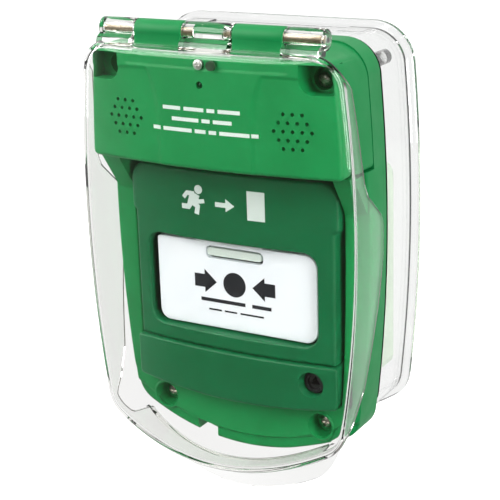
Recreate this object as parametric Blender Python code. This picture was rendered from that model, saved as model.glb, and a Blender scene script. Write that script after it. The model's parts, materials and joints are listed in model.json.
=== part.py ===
"""Manual call point station: a green call point under a hinged clear cover with a built-in sounder.

Metres, +Z up, front facing -Y. The origin is on the rear face that lies against the wall.
Depths are distances in front of the wall, so a depth D lies at y = -D.
"""

import math

import bmesh
import bpy
from mathutils import Matrix, Vector

# Driving dimensions
GAP = 0.0003
WALL = 0.0026
Z_WIDEST = 0.005

SPACER_HALF_WIDTH = 0.0720
SPACER_TOP = 0.0950
SPACER_CORNER_Z = -0.0930
SPACER_BOTTOM = -0.1180
FLANGE = 0.0035
SPACER_DEPTH = 0.0330
BACK_WALL = 0.0025
SEAL_DEPTH = 0.0008

BASE_HALF_WIDTH = 0.0722
BASE_TOP = 0.0955
BASE_FRONT = 0.0550
BASE_SHELF = 0.0470
CHIN_FRONT = 0.0570
BASE_CORNER_Z = -0.1010
BASE_BOTTOM = -0.1180

HEAD_HALF_WIDTH = 0.0705
HEAD_BOTTOM = 0.0358
HEAD_TOP = 0.0908
HEAD_CROWN = 0.0822
HEAD_BOW = 0.0060

COVER_HALF_WIDTH = 0.0768
COVER_TOP = 0.0945
COVER_CROWN = 0.0875
COVER_BOW = 0.0085
COVER_CORNER_Z = -0.1000
COVER_BOTTOM = -0.1205
COVER_FOOT_Z = -0.1013
FOOT_HALF_WIDTH = 0.0575
LIP_HALF_WIDTH = 0.0560
LIP_BOTTOM = -0.1390

HINGE_Y = -0.0730
HINGE_Z = 0.1000
KNUCKLE_RADIUS = 0.0052
PIN_RADIUS = 0.0019
PIN_INNER_X = 0.0080
PIN_OUTER_X = 0.0590
BARREL_INNER_X = 0.0140
BARREL_OUTER_X = 0.0406
KNUCKLE_END_X = 0.0609
WEB_INSET = 0.0003

GRILLE_X = 0.0460
GRILLE_Z = 0.0580
GRILLE_PITCH = 0.0047
GRILLE_HOLE = 0.0011
PIEZO_RADIUS = 0.0106

POCKET_X = 0.0550
POCKET_Z = 0.0800
POCKET_RADIUS = 0.0065
POCKET_INNER_X = 0.0475
POCKET_LOW_Z = 0.0740
BOSS_X = 0.0460
BOSS_Z = -0.0985
BOSS_RADIUS = 0.0060

OPENING_HALF_WIDTH = 0.0603
CALL_HALF_WIDTH = 0.0570
CALL_TOP_HALF_WIDTH = 0.0590
CALL_TOP = 0.0300
CALL_STEP_Z = 0.0050
CALL_SPLIT_Z = -0.0632
CALL_LOW_Z = -0.0858
CALL_BOTTOM = -0.0898
CALL_CROWN = 0.0645
CALL_BOW = 0.0045
CALL_REAR = 0.0360
LOWER_PROUD = 0.0020
BOX_HALF_WIDTH = 0.0595

WINDOW_HALF_WIDTH = 0.0495
WINDOW_TOP = -0.0055
WINDOW_BOTTOM = -0.0560
PLATE_HALF_WIDTH = 0.0470
PLATE_TOP = -0.0080
PLATE_BOTTOM = -0.0538
PLATE_FRONT = 0.0590
PLATE_THICKNESS = 0.0030
PRESS_Z = -0.0300
SLOT_HALF_WIDTH = 0.0160
SLOT_Z = -0.0131
SLOT_HALF_HEIGHT = 0.0023

KEY_X = 0.0450
KEY_Z = -0.0735
KEY_RADIUS = 0.0059

BOARD_FRONT = 0.0300
BOARD_THICKNESS = 0.0016

COLOURS = {
    "clear": ((0.93, 0.95, 0.94, 0.25), 0.06, 0.0),
    "signal_green": ((0.0, 0.25, 0.07, 1.0), 0.35, 0.0),
    "deep_green": ((0.005, 0.11, 0.045, 1.0), 0.4, 0.0),
    "box_green": ((0.45, 0.55, 0.42, 1.0), 0.5, 0.0),
    "white": ((0.85, 0.88, 0.9, 1.0), 0.4, 0.0),
    "flag_yellow": ((0.8, 0.6, 0.05, 1.0), 0.5, 0.0),
    "pale_green": ((0.65, 0.8, 0.68, 1.0), 0.3, 0.0),
    "black": ((0.02, 0.02, 0.022, 1.0), 0.5, 0.0),
    "board_green": ((0.02, 0.12, 0.05, 1.0), 0.45, 0.0),
    "steel": ((0.62, 0.6, 0.56, 1.0), 0.3, 1.0),
    "brass": ((0.75, 0.55, 0.25, 1.0), 0.35, 1.0),
    "silicone": ((0.75, 0.77, 0.75, 1.0), 0.6, 0.0),
}


def clear_scene():
    for obj in list(bpy.data.objects):
        bpy.data.objects.remove(obj, do_unlink=True)


def new_collection(name, hidden=False):
    collection = bpy.data.collections.new(name)
    bpy.context.scene.collection.children.link(collection)
    collection.hide_render = hidden
    return collection


clear_scene()
PARTS = new_collection("manual_call_point")
CUTTERS = new_collection("cutters", hidden=True)


def material(name):
    made = bpy.data.materials.get(name)
    if made:
        return made
    colour, roughness, metallic = COLOURS[name]
    made = bpy.data.materials.new(name)
    made.use_nodes = True
    shader = made.node_tree.nodes["Principled BSDF"]
    shader.inputs["Base Color"].default_value = colour[:3] + (1.0,)
    shader.inputs["Alpha"].default_value = colour[3]
    shader.inputs["Roughness"].default_value = roughness
    shader.inputs["Metallic"].default_value = metallic
    return made


# Outlines, as lists of (across, up) points


def side_half_width(widest, z, taper=0.6):
    """Half width of the gently bulging sides at height z. A taper of 0.6 takes off 6 mm at 100 mm."""
    return widest - taper * (z - Z_WIDEST) ** 2


def corner_arc(centre, radius, start, end, steps):
    """Points on an arc round centre, from the start to the end angle in degrees."""
    angles = [math.radians(start + (end - start) * i / steps) for i in range(steps + 1)]
    return [(centre[0] + radius * math.cos(a), centre[1] + radius * math.sin(a)) for a in angles]


def mirrored(half):
    """A whole outline from its right half, which runs from bottom centre up to top centre."""
    return half + [(-x, z) for x, z in reversed(half) if x > 1e-6]


def shield(widest, top, corner_z, bottom, top_radius=0.018, inset=0.0, chamfer=0.005, taper=0.6):
    """Bulging sides, round top corners and a bottom that sags to the centre."""
    widest, top, top_radius = widest - inset, top - inset, top_radius - inset
    corner_z, bottom = corner_z + inset, bottom + inset
    corner_x = side_half_width(widest, corner_z, taper)
    foot_x = corner_x - chamfer
    half = [(foot_x * i / 5, bottom + (corner_z - chamfer / 2 - bottom) * (i / 5) ** 2) for i in range(6)]
    side_top = top - top_radius
    half += [
        (side_half_width(widest, z, taper), z)
        for z in (corner_z + chamfer + (side_top - corner_z - chamfer) * i / 7 for i in range(7))
    ]
    arc_x = side_half_width(widest, side_top, taper) - top_radius
    half += corner_arc((arc_x, side_top), top_radius, 0, 90, 5)
    return mirrored(half)


def rounded_rectangle(x0, x1, z0, z1, radius, steps=3):
    return (
        corner_arc((x1 - radius, z0 + radius), radius, -90, 0, steps)
        + corner_arc((x1 - radius, z1 - radius), radius, 0, 90, steps)
        + corner_arc((x0 + radius, z1 - radius), radius, 90, 180, steps)
        + corner_arc((x0 + radius, z0 + radius), radius, 180, 270, steps)
    )


# Solids


def place(obj, collection, finish=None):
    collection.objects.link(obj)
    if finish:
        obj.data.materials.append(material(finish))
    return obj


def mesh_of_curve(curve_object):
    """A mesh object from a curve, with its loose caps welded."""
    bpy.context.scene.collection.objects.link(curve_object)
    bpy.context.view_layer.update()
    evaluated = curve_object.evaluated_get(bpy.context.evaluated_depsgraph_get())
    mesh = bpy.data.meshes.new_from_object(evaluated)
    shape = bmesh.new()
    shape.from_mesh(mesh)
    bmesh.ops.remove_doubles(shape, verts=shape.verts, dist=1e-6)
    bmesh.ops.recalc_face_normals(shape, faces=shape.faces)
    shape.to_mesh(mesh)
    shape.free()
    name, matrix = curve_object.name, curve_object.matrix_world.copy()
    bpy.data.objects.remove(curve_object, do_unlink=True)
    result = bpy.data.objects.new(name, mesh)
    result.matrix_world = matrix
    return result


def flat_curve(name, loops, thickness):
    curve = bpy.data.curves.new(name, "CURVE")
    curve.dimensions = "2D"
    curve.fill_mode = "BOTH"
    curve.extrude = thickness / 2
    for loop in loops:
        spline = curve.splines.new("POLY")
        spline.points.add(len(loop) - 1)
        for point, (across, up) in zip(spline.points, loop):
            point.co = (across, up, 0.0, 1.0)
        spline.use_cyclic_u = True
    return bpy.data.objects.new(name, curve)


def front_outline_solid(name, loops, depth_back, depth_front):
    """An outline seen from the front, as thick as the span between two depths."""
    flat = flat_curve(name, loops, depth_front - depth_back)
    flat.rotation_euler = (math.pi / 2, 0.0, 0.0)
    flat.location = (0.0, -(depth_back + depth_front) / 2, 0.0)
    return mesh_of_curve(flat)


def top_outline_solid(name, loop, z0, z1):
    """An outline in x and y, standing from z0 to z1."""
    flat = flat_curve(name, [loop], z1 - z0)
    flat.location = (0.0, 0.0, (z0 + z1) / 2)
    return mesh_of_curve(flat)


def side_outline_solid(name, loop, x0, x1):
    """An outline in y and z, seen from the side, from x0 to x1."""
    flat = flat_curve(name, [loop], x1 - x0)
    flat.rotation_euler = (math.pi / 2, 0.0, math.pi / 2)
    flat.location = ((x0 + x1) / 2, 0.0, 0.0)
    return mesh_of_curve(flat)


def bowed_block(name, half_width, crown, bow, depth_back, z0, z1, steps=14):
    """A standing block whose front bows forward: its middle is at depth crown, its ends bow less."""
    reach = half_width * 1.15
    front = [reach * (2 * i / steps - 1) for i in range(steps + 1)]
    loop = [(x, -(crown - bow * (x / half_width) ** 2)) for x in front]
    loop += [(reach, -depth_back), (-reach, -depth_back)]
    return top_outline_solid(name, loop, z0, z1)


def box(name, x0, x1, depth_back, depth_front, z0, z1):
    shape = bmesh.new()
    size = Vector((x1 - x0, depth_front - depth_back, z1 - z0))
    centre = Vector(((x0 + x1) / 2, -(depth_back + depth_front) / 2, (z0 + z1) / 2))
    bmesh.ops.create_cube(shape, size=1.0, matrix=Matrix.Translation(centre) @ Matrix.Diagonal(size.to_4d()))
    return object_of(name, shape)


def cylinder(name, start, end, radius, sides=16):
    """A round bar between two points."""
    start, end = Vector(start), Vector(end)
    along = end - start
    turn = along.to_track_quat("Z", "Y").to_matrix().to_4x4()
    shape = bmesh.new()
    bmesh.ops.create_cone(
        shape,
        cap_ends=True,
        segments=sides,
        radius1=radius,
        radius2=radius,
        depth=along.length,
        matrix=Matrix.Translation((start + end) / 2) @ turn,
    )
    return object_of(name, shape)


def object_of(name, shape):
    bmesh.ops.recalc_face_normals(shape, faces=shape.faces)
    mesh = bpy.data.meshes.new(name)
    shape.to_mesh(mesh)
    shape.free()
    return bpy.data.objects.new(name, mesh)


def boolean(obj, tool, operation):
    """Combines obj with a tool, which is kept as a hidden helper."""
    place(tool, CUTTERS)
    tool.hide_render = True
    tool.display_type = "WIRE"
    step = obj.modifiers.new(tool.name, "BOOLEAN")
    step.operation = operation
    step.solver = "EXACT"
    step.object = tool


def cut(obj, tool):
    boolean(obj, tool, "DIFFERENCE")


def join(obj, tool):
    boolean(obj, tool, "UNION")


def keep_inside(obj, tool):
    boolean(obj, tool, "INTERSECT")


def move_origin(obj, point):
    """Puts the object's origin on its joint without moving its shape."""
    shift = Matrix.Translation(-Vector(point))
    obj.data.transform(shift @ obj.matrix_world)
    obj.matrix_world = Matrix.Translation(Vector(point))
    return obj


def both_sides(make):
    """Runs a maker for the left and the right side."""
    return [make(side, sign) for side, sign in (("left", -1), ("right", 1))]


# The rear box, its seal and the cable entry

SPACER_OUTLINE = (SPACER_HALF_WIDTH, SPACER_TOP, SPACER_CORNER_Z, SPACER_BOTTOM)
CABLE_Z = 0.0620
CABLE_RADIUS = 0.0085


def spacer_boss(x, z):
    return cylinder(f"boss_{x:.3f}_{z:.3f}", (x, -0.001, z), (x, -SPACER_DEPTH, z), 0.0045, 12)


def make_rear_spacer():
    body = front_outline_solid("rear_spacer", [shield(*SPACER_OUTLINE)], 0.0, SPACER_DEPTH)
    place(body, PARTS, "clear")
    flange = shield(*SPACER_OUTLINE, top_radius=0.0215, inset=-FLANGE)
    join(body, front_outline_solid("spacer_flange", [flange], 0.0, 0.0035))
    hollow = shield(*SPACER_OUTLINE, inset=WALL + 0.0004)
    cut(body, front_outline_solid("spacer_hollow", [hollow], BACK_WALL, SPACER_DEPTH + 0.01))
    for x, z in fixing_points():
        join(body, spacer_boss(x, z))
        cut(body, cylinder(f"fixing_hole_{x:.3f}_{z:.3f}", (x, -0.008, z), (x, -0.05, z), 0.0021, 10))
    cut(body, cylinder("cable_hole", (0, 0.01, CABLE_Z), (0, -0.01, CABLE_Z), CABLE_RADIUS, 20))
    for x in (-0.045, 0.045):
        for z in (-0.0930, 0.0640):
            cut(body, cylinder(f"wall_hole_{x:.3f}_{z:.3f}", (x, 0.01, z), (x, -0.01, z), 0.0024, 10))
    cut(body, box("top_panel", -0.0390, 0.0390, 0.0045, SPACER_DEPTH - 0.003, SPACER_TOP - 0.0006, 0.11))
    return body


def fixing_points():
    return [(s * POCKET_X, POCKET_Z) for s in (-1, 1)] + [(s * BOSS_X, BOSS_Z) for s in (-1, 1)]


def make_spacer_seal():
    loops = [shield(*SPACER_OUTLINE, inset=0.0007), shield(*SPACER_OUTLINE, inset=0.0024)]
    back = SPACER_DEPTH + GAP
    return place(front_outline_solid("spacer_seal", loops, back, back + SEAL_DEPTH), PARTS, "silicone")


def make_cable_grommet():
    """A rubber ring that clips over the edge of the cable hole."""
    body = cylinder("cable_grommet", (0, -0.0003, CABLE_Z), (0, -0.0060, CABLE_Z), CABLE_RADIUS - GAP, 20)
    place(body, PARTS, "black")
    front = (0, -BACK_WALL - GAP, CABLE_Z)
    join(body, cylinder("grommet_lip", front, (0, -0.0048, CABLE_Z), CABLE_RADIUS + 0.0025, 20))
    cut(body, cylinder("grommet_bore", (0, 0.01, CABLE_Z), (0, -0.02, CABLE_Z), 0.0045, 14))
    return body


# The green frame and the sounder housing

BASE_REAR = SPACER_DEPTH + 2 * GAP + SEAL_DEPTH
BASE_OUTLINE = (BASE_HALF_WIDTH, BASE_TOP, BASE_CORNER_Z, BASE_BOTTOM)
POCKET_BOTTOM = -0.1080


def call_point_gap(margin):
    """The opening that the call point stands in, with a bottom that follows its sagging edge."""
    half_width = OPENING_HALF_WIDTH + margin
    low, foot = CALL_LOW_Z - 0.0006 - margin, CALL_BOTTOM - 0.0006 - margin
    half = [(half_width * i / 4, foot + (low - foot) * (i / 4) ** 2) for i in range(5)]
    return mirrored(half + [(half_width, HEAD_BOTTOM - 0.0015 + margin)])


def make_base_frame():
    body = front_outline_solid("base_frame", [shield(*BASE_OUTLINE, chamfer=0.007)], BASE_REAR, BASE_FRONT)
    place(body, PARTS, "signal_green")
    cut(body, box("room_for_head", -0.09, 0.09, BASE_SHELF, 0.1, HEAD_BOTTOM - GAP, 0.12))
    chin_outline = shield(*BASE_OUTLINE, inset=0.0012, chamfer=0.007)
    chin = front_outline_solid("chin", [chin_outline], BASE_REAR + 0.004, 0.07)
    keep_inside(chin, bowed_block("chin_front", BASE_HALF_WIDTH, CHIN_FRONT + 0.0008, 0.004, 0.03, -0.15, -0.084))
    join(body, chin)
    slope = [(-0.0460, 0.0140), (-0.0549, 0.0140), (-0.0549, 0.0155), (-0.0690, HEAD_BOTTOM - GAP)]
    slope += [(-0.0460, HEAD_BOTTOM - GAP)]
    for side, sign in (("left", -1), ("right", 1)):
        ends = sorted((sign * (OPENING_HALF_WIDTH + 0.0002), sign * (HEAD_HALF_WIDTH - 0.0001)))
        join(body, side_outline_solid(f"slope_{side}", slope, *ends))
    notch = [(-0.0270, -0.1300), (-0.0150, -0.1300), (-0.0150, -0.1115), (-0.0270, -0.1085)]
    cut(body, front_outline_solid("chin_notch", [notch], 0.0, 0.1))
    cut(body, front_outline_solid("call_point_opening", [call_point_gap(0.0)], 0.0, 0.1))
    pocket = shield(BASE_HALF_WIDTH, BASE_TOP, SPACER_CORNER_Z, POCKET_BOTTOM, inset=WALL, chamfer=0.002)
    ring = front_outline_solid("rear_pocket", [pocket, call_point_gap(WALL)], 0.0, BASE_SHELF - WALL)
    cut(body, ring)
    for side, sign in (("left", -1), ("right", 1)):
        x = sign * BOSS_X
        post = ((x, -BASE_REAR - 0.0002, BOSS_Z), (x, -0.050, BOSS_Z))
        join(body, cylinder(f"base_post_{side}", *post, 0.0048, 12))
        cut(body, cylinder(f"boss_recess_{side}", (x, -0.0485, BOSS_Z), (x, -0.08, BOSS_Z), BOSS_RADIUS, 20))
        cut(body, cylinder(f"boss_hole_{side}", (x, -0.02, BOSS_Z), (x, -0.08, BOSS_Z), 0.0021, 10))
        high = ((sign * POCKET_X, -0.02, POCKET_Z), (sign * POCKET_X, -0.08, POCKET_Z))
        cut(body, cylinder(f"upper_hole_{side}", *high, 0.0021, 10))
    return body


def head_half(inset):
    """Right half of the sounder housing's outline."""
    bottom, top, radius = HEAD_BOTTOM + inset, HEAD_TOP - inset, 0.0140 - inset
    widest = HEAD_HALF_WIDTH - inset
    side_top = top - radius
    heights = [bottom + (side_top - bottom) * i / 3 for i in range(3)]
    half = [(side_half_width(widest, z), z) for z in heights]
    return half + corner_arc((side_half_width(widest, side_top) - radius, side_top), radius, 0, 90, 5)


def head_cavity():
    """The room behind the housing's front, which leaves solid corners for the fixing pockets."""
    low, top = HEAD_BOTTOM + WALL, HEAD_TOP - WALL
    return mirrored([(0.0660, low), (0.0655, 0.0690), (0.0430, 0.0695), (0.0430, top)])


def grille_holes():
    """Hexagonal rows of 3, 4, 5, 4 and 3 holes."""
    points = []
    for row in range(-2, 3):
        count = 5 - abs(row)
        for i in range(count):
            points.append(((i - (count - 1) / 2) * GRILLE_PITCH, row * GRILLE_PITCH * math.sqrt(3) / 2))
    return points


def make_grille_tool(side, sign):
    """All the holes of one grille as one tool."""
    shape = bmesh.new()
    for across, up in grille_holes():
        centre = Vector((sign * GRILLE_X + across, -HEAD_CROWN + 0.002, GRILLE_Z + up))
        turn = Matrix.Rotation(math.pi / 2, 4, "X")
        bmesh.ops.create_cone(
            shape,
            cap_ends=True,
            segments=6,
            radius1=GRILLE_HOLE,
            radius2=GRILLE_HOLE,
            depth=0.014,
            matrix=Matrix.Translation(centre) @ turn,
        )
    return object_of(f"grille_{side}", shape)


SCREW_X, SCREW_Z = -0.0014, 0.0868
REED_X, REED_Z = 0.0062, 0.0868
LED_X, LED_Z = -0.0014, 0.0770


def make_sounder_housing():
    rear = BASE_SHELF + GAP
    body = front_outline_solid("sounder_housing", [mirrored(head_half(0.0))], rear, 0.095)
    place(body, PARTS, "signal_green")
    keep_inside(body, bowed_block("head_front", HEAD_HALF_WIDTH, HEAD_CROWN, HEAD_BOW, 0.03, 0.02, 0.12))
    hollow = front_outline_solid("head_hollow", [head_cavity()], 0.03, 0.094)
    keep_inside(hollow, bowed_block("hollow_front", HEAD_HALF_WIDTH, HEAD_CROWN - WALL, HEAD_BOW, 0.02, 0, 0.12))
    cut(body, hollow)
    for side, sign in (("left", -1), ("right", 1)):
        ends = sorted((sign * BARREL_INNER_X, sign * BARREL_OUTER_X))
        web = (ends[0] + WEB_INSET, ends[1] - WEB_INSET, 0.0680, 0.0770)
        join(body, box(f"barrel_web_{side}", *web, HEAD_TOP - 0.001, 0.0985))
        axis = ((ends[0], HINGE_Y, HINGE_Z), (ends[1], HINGE_Y, HINGE_Z))
        join(body, cylinder(f"barrel_{side}", *axis, KNUCKLE_RADIUS, 20))
        step = sorted((sign * POCKET_INNER_X, sign * 0.0900))
        corner = rounded_rectangle(*step, POCKET_LOW_Z, 0.1100, 0.0070)
        cut(body, front_outline_solid(f"corner_step_{side}", [corner], 0.0680, 0.1))
        pocket = ((sign * POCKET_X, -0.062, POCKET_Z), (sign * POCKET_X, -0.1, POCKET_Z))
        cut(body, cylinder(f"corner_pocket_{side}", *pocket, POCKET_RADIUS, 20))
        hole = ((sign * POCKET_X, -0.04, POCKET_Z), (sign * POCKET_X, -0.1, POCKET_Z))
        cut(body, cylinder(f"corner_hole_{side}", *hole, 0.0021, 10))
        cut(body, make_grille_tool(side, sign))
    bore = ((-0.07, HINGE_Y, HINGE_Z), (0.07, HINGE_Y, HINGE_Z))
    cut(body, cylinder("pin_bore", *bore, PIN_RADIUS + GAP, 14))
    for name, x, z, radius in (
        ("screw_hole", SCREW_X, SCREW_Z, 0.0017),
        ("reed_hole", REED_X, REED_Z, 0.0027),
        ("led_hole", LED_X, LED_Z, 0.0018),
    ):
        cut(body, cylinder(name, (x, -0.076, z), (x, -0.1, z), radius, 12))
    return body


def make_hinge_pin(side, sign):
    """A short pin from the outer knuckle through the barrel into the centre knuckle."""
    ends = ((sign * PIN_INNER_X, HINGE_Y, HINGE_Z), (sign * PIN_OUTER_X, HINGE_Y, HINGE_Z))
    return place(cylinder(f"hinge_pin_{side}", *ends, PIN_RADIUS, 14), PARTS, "steel")


# The clear hinged cover

# Depth of the rear edge of the side walls, from the top down: shallow beside the sounder, deep below it
COVER_REAR_EDGE = [
    (0.0785, 0.130),
    (0.0785, 0.0900),
    (0.0710, 0.0780),
    (0.0682, 0.0460),
    (0.0650, 0.0300),
    (0.0466, 0.0120),
    (0.0470, -0.0060),
    (0.0504, -0.0290),
    (0.0540, -0.0480),
    (0.0586, -0.0730),
    (0.0680, -0.0900),
    (0.0735, -0.0990),
    (0.0735, -0.1015),
]


def foot_rear(x):
    """Depth of the rear edge of the cover's bottom wall, which follows the bow of the frame behind it."""
    return 0.0710 - 0.0125 * (x / 0.057) ** 2


def make_finger_lip():
    """A curved tongue that hangs from the bottom wall, for lifting the cover."""
    corner_x = side_half_width(COVER_HALF_WIDTH, COVER_CORNER_Z, 0.8)
    shape = bmesh.new()
    rows = []
    for i in range(17):
        x = LIP_HALF_WIDTH * (i / 8 - 1)
        wall = COVER_BOTTOM + (COVER_CORNER_Z - COVER_BOTTOM) * (x / corner_x) ** 2 + WALL / 2
        low = LIP_BOTTOM + x * x / 0.180 + 0.010 * max(0.0, (abs(x) - 0.044) / 0.012) ** 2
        root, tip = foot_rear(x), 0.0620 - 0.0090 * (x / 0.057) ** 2
        corners = [(root + 0.0006, wall), (root + 0.0034, wall), (tip + 0.0020, low), (tip, low)]
        rows.append([shape.verts.new((x, -depth, z)) for depth, z in corners])
    for a, b in zip(rows, rows[1:]):
        for j in range(4):
            shape.faces.new((a[j], a[(j + 1) % 4], b[(j + 1) % 4], b[j]))
    shape.faces.new(rows[0])
    shape.faces.new(rows[-1])
    return object_of("finger_lip", shape)


def make_cover():
    outline = (COVER_HALF_WIDTH, COVER_TOP, COVER_CORNER_Z, COVER_BOTTOM)
    body = front_outline_solid("cover", [shield(*outline, taper=0.8)], 0.042, 0.1)
    place(body, PARTS, "clear")
    keep_inside(body, bowed_block("cover_front", COVER_HALF_WIDTH, COVER_CROWN, COVER_BOW, 0.03, -0.2, 0.2, 18))
    hollow = front_outline_solid("cover_hollow", [shield(*outline, inset=WALL, taper=0.8)], 0.02, 0.099)
    inner = (COVER_HALF_WIDTH, COVER_CROWN - WALL, COVER_BOW)
    keep_inside(hollow, bowed_block("cover_inner_front", *inner, 0.01, -0.19, 0.19, 18))
    cut(body, hollow)
    behind = [(-depth, z) for depth, z in COVER_REAR_EDGE] + [(0.0, -0.1015), (0.0, 0.130)]
    cut(body, side_outline_solid("cover_rear_edge", behind, -0.1, 0.1))
    steps = [FOOT_HALF_WIDTH * (i / 6 - 1) for i in range(13)]
    foot = [(-0.09, -0.0735), (-FOOT_HALF_WIDTH, -0.0735)] + [(x, -foot_rear(x)) for x in steps]
    foot += [(FOOT_HALF_WIDTH, -0.0735), (0.09, -0.0735), (0.09, 0.0), (-0.09, 0.0)]
    cut(body, top_outline_solid("cover_foot_edge", foot, -0.150, COVER_FOOT_Z))
    join(body, make_finger_lip())
    for name, x0, x1 in (
        ("left", -KNUCKLE_END_X, -BARREL_OUTER_X - GAP),
        ("centre", -BARREL_INNER_X + GAP, BARREL_INNER_X - GAP),
        ("right", BARREL_OUTER_X + GAP, KNUCKLE_END_X),
    ):
        web = (x0 + WEB_INSET, x1 - WEB_INSET, 0.0740, 0.0825)
        join(body, box(f"knuckle_web_{name}", *web, 0.0922, 0.0985))
        axis = ((x0, HINGE_Y, HINGE_Z), (x1, HINGE_Y, HINGE_Z))
        join(body, cylinder(f"knuckle_{name}", *axis, KNUCKLE_RADIUS, 20))
    for side, sign in (("left", -1), ("right", 1)):
        ends = (sign * (PIN_INNER_X - GAP), sign * (PIN_OUTER_X + GAP))
        bore = ((ends[0], HINGE_Y, HINGE_Z), (ends[1], HINGE_Y, HINGE_Z))
        cut(body, cylinder(f"cover_pin_bore_{side}", *bore, PIN_RADIUS + GAP, 14))
    return move_origin(body, (0.0, HINGE_Y, HINGE_Z))


def make_cover_magnet():
    """A disc magnet stuck inside the cover, in front of the reed switch."""
    inner = COVER_CROWN - WALL
    ends = ((REED_X, -inner + 0.0005, REED_Z), (REED_X, -inner + 0.0021, REED_Z))
    body = place(cylinder("cover_magnet", *ends, 0.0023, 14), PARTS, "black")
    return move_origin(body, (0.0, HINGE_Y, HINGE_Z))


# The parts inside the sounder housing


def make_sounder_parts():
    board = box("sounder_board", -0.0400, 0.0400, 0.0540, 0.0556, 0.0420, 0.0860)
    place(board, PARTS, "board_green")
    both_sides(make_piezo)
    place(box("battery", -0.0243, 0.0243, 0.0570, 0.0745, 0.0405, 0.0670), PARTS, "black")
    place(box("battery_snap", 0.0246, 0.0272, 0.0590, 0.0725, 0.0420, 0.0655), PARTS, "brass")
    reed = ((REED_X - 0.007, -0.0700, REED_Z - 0.0025), (REED_X + 0.007, -0.0700, REED_Z - 0.0025))
    place(cylinder("reed_switch", *reed, 0.0013, 10), PARTS, "brass")
    led = ((LED_X, -0.0560, LED_Z), (LED_X, -HEAD_CROWN + 0.0006, LED_Z))
    place(cylinder("status_led", *led, 0.0015, 12), PARTS, "pale_green")


def make_piezo(side, sign):
    x = sign * GRILLE_X
    disc = cylinder(f"piezo_sounder_{side}", (x, -0.0690, GRILLE_Z), (x, -0.0748, GRILLE_Z), PIEZO_RADIUS, 20)
    return place(disc, PARTS, "black")


def make_screw(name, x, z, head_back, head_height, head_radius, shank_end, finish="steel"):
    """A cross-slotted pan-head screw whose head sits in front of depth head_back."""
    head_front = head_back + head_height
    body = cylinder(name, (x, -head_back, z), (x, -head_front, z), head_radius, 14)
    place(body, PARTS, finish)
    join(body, cylinder(f"{name}_shank", (x, -head_back - 0.0004, z), (x, -shank_end, z), 0.00135, 8))
    slot, depth = 0.0005, 0.0006
    reach = head_radius * 0.62
    cross = box(f"{name}_slot_a", x - reach, x + reach, head_front - depth, head_front + 0.002, z - slot, z + slot)
    cut(body, cross)
    cross = box(f"{name}_slot_b", x - slot, x + slot, head_front - depth, head_front + 0.002, z - reach, z + reach)
    cut(body, cross)
    return body


def make_screws():
    make_screw("head_screw", SCREW_X, SCREW_Z, HEAD_CROWN + GAP, 0.0011, 0.0026, 0.0720)
    for side, sign in (("left", -1), ("right", 1)):
        make_screw(f"upper_screw_{side}", sign * POCKET_X, POCKET_Z, 0.0623, 0.0022, 0.0036, 0.0200)
        make_screw(f"lower_screw_{side}", sign * BOSS_X, BOSS_Z, 0.0488, 0.0022, 0.0036, 0.0200)


# The call point


def call_half(inset):
    """Right half of the call point's front above its split line, wider above the step."""
    top, radius = CALL_TOP - inset, 0.0090 - inset
    low = CALL_HALF_WIDTH - inset
    high = CALL_TOP_HALF_WIDTH - inset
    half = [(low, CALL_SPLIT_Z + inset), (low, CALL_STEP_Z + inset), (high, CALL_STEP_Z + 0.0008 + inset)]
    return half + corner_arc((high - radius, top - radius), radius, 0, 90, 4)


def make_call_point_box():
    outline = rounded_rectangle(-BOX_HALF_WIDTH, BOX_HALF_WIDTH, -0.0825, 0.0300, 0.006)
    back, front = BACK_WALL + GAP, CALL_REAR - GAP
    body = front_outline_solid("call_point_box", [outline], back, front)
    place(body, PARTS, "box_green")
    inner = rounded_rectangle(-BOX_HALF_WIDTH + 0.002, BOX_HALF_WIDTH - 0.002, -0.0805, 0.0280, 0.004)
    cut(body, front_outline_solid("box_hollow", [inner], back + 0.002, front + 0.01))
    bevel = [(0.01, 0.04), (0.01, 0.0215), (-back, 0.0215), (-back - 0.0085, 0.04)]
    cut(body, side_outline_solid("box_chamfer", bevel, -0.08, 0.08))
    cut(body, cylinder("box_cable_hole", (0, 0.01, -0.02), (0, -0.01, -0.02), 0.008, 16))
    return body


def make_call_point_housing():
    body = front_outline_solid("call_point_housing", [mirrored(call_half(0.0))], CALL_REAR, 0.075)
    place(body, PARTS, "deep_green")
    keep_inside(body, bowed_block("call_front", CALL_HALF_WIDTH, CALL_CROWN, CALL_BOW, 0.02, -0.12, 0.06))
    hollow = front_outline_solid("call_hollow", [mirrored(call_half(0.0022))], 0.02, 0.0560)
    cut(body, hollow)
    frame = (-WINDOW_HALF_WIDTH, WINDOW_HALF_WIDTH, WINDOW_BOTTOM, WINDOW_TOP)
    cut(body, front_outline_solid("window", [rounded_rectangle(*frame, 0.0085)], 0.03, 0.09))
    return body


def lower_half(inset):
    """Right half of the lower cover's outline, whose bottom edge sags to the centre."""
    half_width = CALL_HALF_WIDTH + 0.0015 - inset
    low, foot = CALL_LOW_Z + inset, CALL_BOTTOM + inset
    half = [(half_width * i / 4, foot + (low - foot) * (i / 4) ** 2) for i in range(5)]
    return half + [(half_width, CALL_SPLIT_Z - GAP - inset)]


def make_lower_cover():
    body = front_outline_solid("call_point_lower_cover", [mirrored(lower_half(0.0))], CALL_REAR, 0.08)
    place(body, PARTS, "deep_green")
    crown = CALL_CROWN + LOWER_PROUD
    keep_inside(body, bowed_block("lower_front", CALL_HALF_WIDTH, crown, CALL_BOW, 0.02, -0.12, 0.0))
    cut(body, front_outline_solid("lower_hollow", [mirrored(lower_half(0.0022))], 0.02, 0.0585))
    cut(body, cylinder("key_hole", (KEY_X, -0.03, KEY_Z), (KEY_X, -0.09, KEY_Z), KEY_RADIUS + GAP, 20))
    return body


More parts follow.
